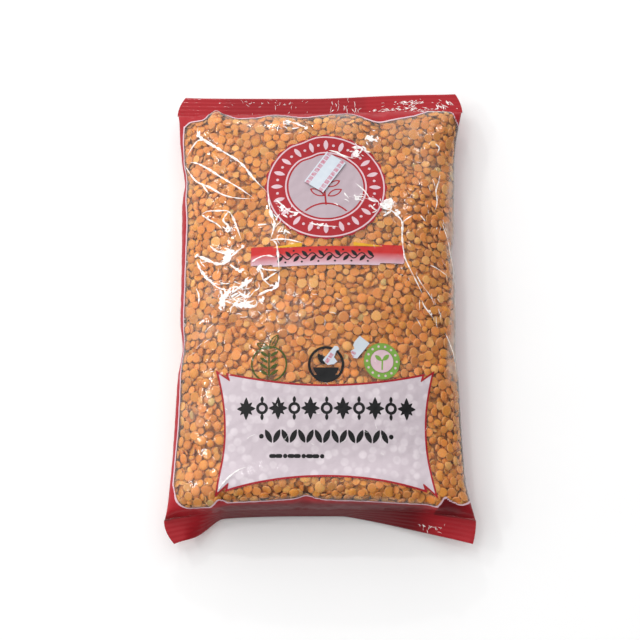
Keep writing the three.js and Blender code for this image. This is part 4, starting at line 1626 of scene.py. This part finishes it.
PRINT = [
    # The front border carries painted shade.
    ("border_front", border, FRONT_BOX, 1, 1, "red with painted shade"),
    ("border_back", border, BACK_BOX, 1, 1, "red"),
    ("border_line_front", border_line, FRONT_BOX, 1, 2, "line"),
    ("border_line_back", border_line, BACK_BOX, 2, 2, "line"),
    ("medallion", medallion_edge, MEDALLION_BOX, 1, 1, "red"),
    ("medallion_lines", medallion_lines, MEDALLION_BOX, 2, 2, "line"),
    ("medallion_centre", medallion_centre, MEDALLION_BOX, 1, 2, "pale"),
    ("medallion_sprig", medallion_sprig, MEDALLION_BOX, 2, 3, "red"),
    ("banner", banner, BANNER_BOX, 1, 1, "fading red"),
    ("banner_wedges", banner_wedges, BANNER_BOX, 2, 2, "yellow"),
    ("banner_flourish", banner_flourish, BANNER_BOX, 3, 2, "black"),
    ("leaf_icon", leaf_icon, LEAF_BOX, 3, 1, "olive"),
    ("bowl_icon", bowl_icon, BOWL_BOX, 3, 1, "black"),
    ("sprout_ring", sprout_ring, SPROUT_BOX, 3, 1, "green"),
    ("sprout_beads", sprout_beads, SPROUT_BOX, 3, 1, "line"),
    ("sprout_centre", sprout_centre, SPROUT_BOX, 2, 1, "line"),
    ("sprout", sprout, SPROUT_BOX, 3, 2, "green"),
    ("panel", panel, PANEL_BOX, 1, 1, "white"),
    ("panel_edge", panel_edge, PANEL_BOX, 2, 2, "red"),
    ("large_row", large_row, PANEL_BOX, 3, 2, "black"),
    ("middle_row", middle_row, PANEL_BOX, 3, 2, "black"),
    ("small_row", small_row, PANEL_BOX, 3, 2, "black"),
    ("back_panel", back_panel, BACK_PANEL_BOX, 2, 1, "white"),
    ("back_panel_edge", back_panel_edge, BACK_PANEL_BOX, 3, 2, "red"),
    ("back_rows", back_rows, BACK_PANEL_BOX, 4, 2, "black"),
]


def print_bag(front, back):
    mixed = inks()
    for name, shape, box, split, layer, ink in PRINT:
        material, slot, fade = mixed[ink]
        film = front if box[0] < SIDE_FOLD else back
        ink_patch(name, film, box, split, shape, layer, material, fade)


def finish_labels():
    """Paper materials for the labels, which keep their solids."""
    for name, stripes in PINK_STRIPES.items():
        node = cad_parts[name]
        node.data.materials.clear()
        node.data.materials.append(label_paper("coated paper of " + name.replace("_", " "), stripes))


# Camera, floor and light

PICTURE_WIDTH = 640
FOCAL_PIXELS = 1170
CAMERA_DISTANCE = 620
CAMERA_ELEVATION = 75
CAMERA_AIM = (0, -9.25, 22)
FLOOR_HALF = 60.0


def aim_camera():
    data = bpy.data.cameras.new("camera")
    data.sensor_width = 36
    data.lens = data.sensor_width * FOCAL_PIXELS / PICTURE_WIDTH
    camera = bpy.data.objects.new("camera", data)
    rise = math.radians(CAMERA_ELEVATION)
    back = Vector((0, -math.cos(rise), math.sin(rise)))
    camera.location = (Vector(CAMERA_AIM) + CAMERA_DISTANCE * back) * MM
    camera.rotation_euler = back.to_track_quat("Z", "Y").to_euler()
    bpy.context.scene.collection.objects.link(camera)
    bpy.context.scene.camera = camera


def lay_floor():
    half = FLOOR_HALF
    corners = [(-half, -half, 0), (half, -half, 0), (half, half, 0), (-half, half, 0)]
    mesh = bpy.data.meshes.new("floor")
    mesh.from_pydata(corners, [], [(0, 1, 2, 3)])
    floor = bpy.data.objects.new("floor", mesh)
    floor.data.materials.append(matt_floor())
    bpy.context.scene.collection.objects.link(floor)


# Small lights that give the film its glints: direction and power

SMALL_LIGHTS = [
    ((-0.55, 0.50, 0.67), 1.2), ((-0.72, 0.05, 0.69), 1.0), ((-0.15, 0.85, 0.50), 1.2),
    ((0.50, 0.52, 0.69), 0.5), ((-0.30, 0.20, 0.93), 0.7),
]
SMALL_LIGHT_DISTANCE = 1.3
SMALL_LIGHT_SIZE = 0.035
SKY_MIDDLE = (-0.55, 0.5, 0.8)
SKY_EDGE = -0.1
SKY_DIMMEST = 0.1
SKY_BRIGHTEST = 1.47


def small_light(name, direction, power):
    data = bpy.data.lights.new(name, "AREA")
    data.shape = "DISK"
    data.size = SMALL_LIGHT_SIZE
    data.energy = power
    light = bpy.data.objects.new(name, data)
    towards = Vector(direction).normalized()
    light.location = towards * SMALL_LIGHT_DISTANCE
    light.rotation_euler = towards.to_track_quat("Z", "Y").to_euler()
    bpy.context.scene.collection.objects.link(light)


def light_studio():
    """A soft white sky, brightest towards the upper left, and the small lights."""
    world = bpy.data.worlds.new("studio")
    world.use_nodes = True
    tree = world.node_tree
    where = add(tree, "TexCoord", {}, "Generated")
    inputs = {0: where, 1: Vector(SKY_MIDDLE).normalized()}
    towards = add(tree, "VectorMath", inputs, "Value", operation="DOT_PRODUCT")
    inputs = {"Value": towards, "From Min": SKY_EDGE, "To Min": SKY_DIMMEST, "To Max": SKY_BRIGHTEST}
    strength = add(tree, "MapRange", inputs, interpolation_type="SMOOTHSTEP")
    tree.links.new(strength, tree.nodes["Background"].inputs["Strength"])
    tree.nodes["Background"].inputs["Color"].default_value = linear("#ffffff")
    bpy.context.scene.world = world
    for number, (direction, power) in enumerate(SMALL_LIGHTS):
        small_light(f"small light {number}", direction, power)


def build():
    packing = pack_lentils(PLAIN)
    rows = film_rows()
    front = worked_film(film_columns(), rows, packing, with_folds=True)
    back_columns = lines_between(SIDE_FOLD, GIRTH - SIDE_FOLD, BACK_STEP)
    back = worked_film(back_columns, rows, packing, with_folds=False)
    clear, creased = clear_film(), whitened_film_with_painted_glints()
    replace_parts(film_piece("film_front", front, clear), "bag")
    film_piece("film_back", back, clear)
    # Folds and glints are drawn in white film as painted highlights.
    fold_pinches(front, creased)
    box = (-SIDE_FOLD, SIDE_FOLD, GLINTS_FROM, TOP_SEAL_M)
    ink_patch("film_glints", front, box, 1, glint_patches, 5, creased)
    lentil_pieces(PLAIN, packing)
    lentil_core(PLAIN)
    print_bag(front, back)
    finish_labels()


build()
aim_camera()
lay_floor()
light_studio()
bpy.context.scene.view_settings.view_transform = "Standard"
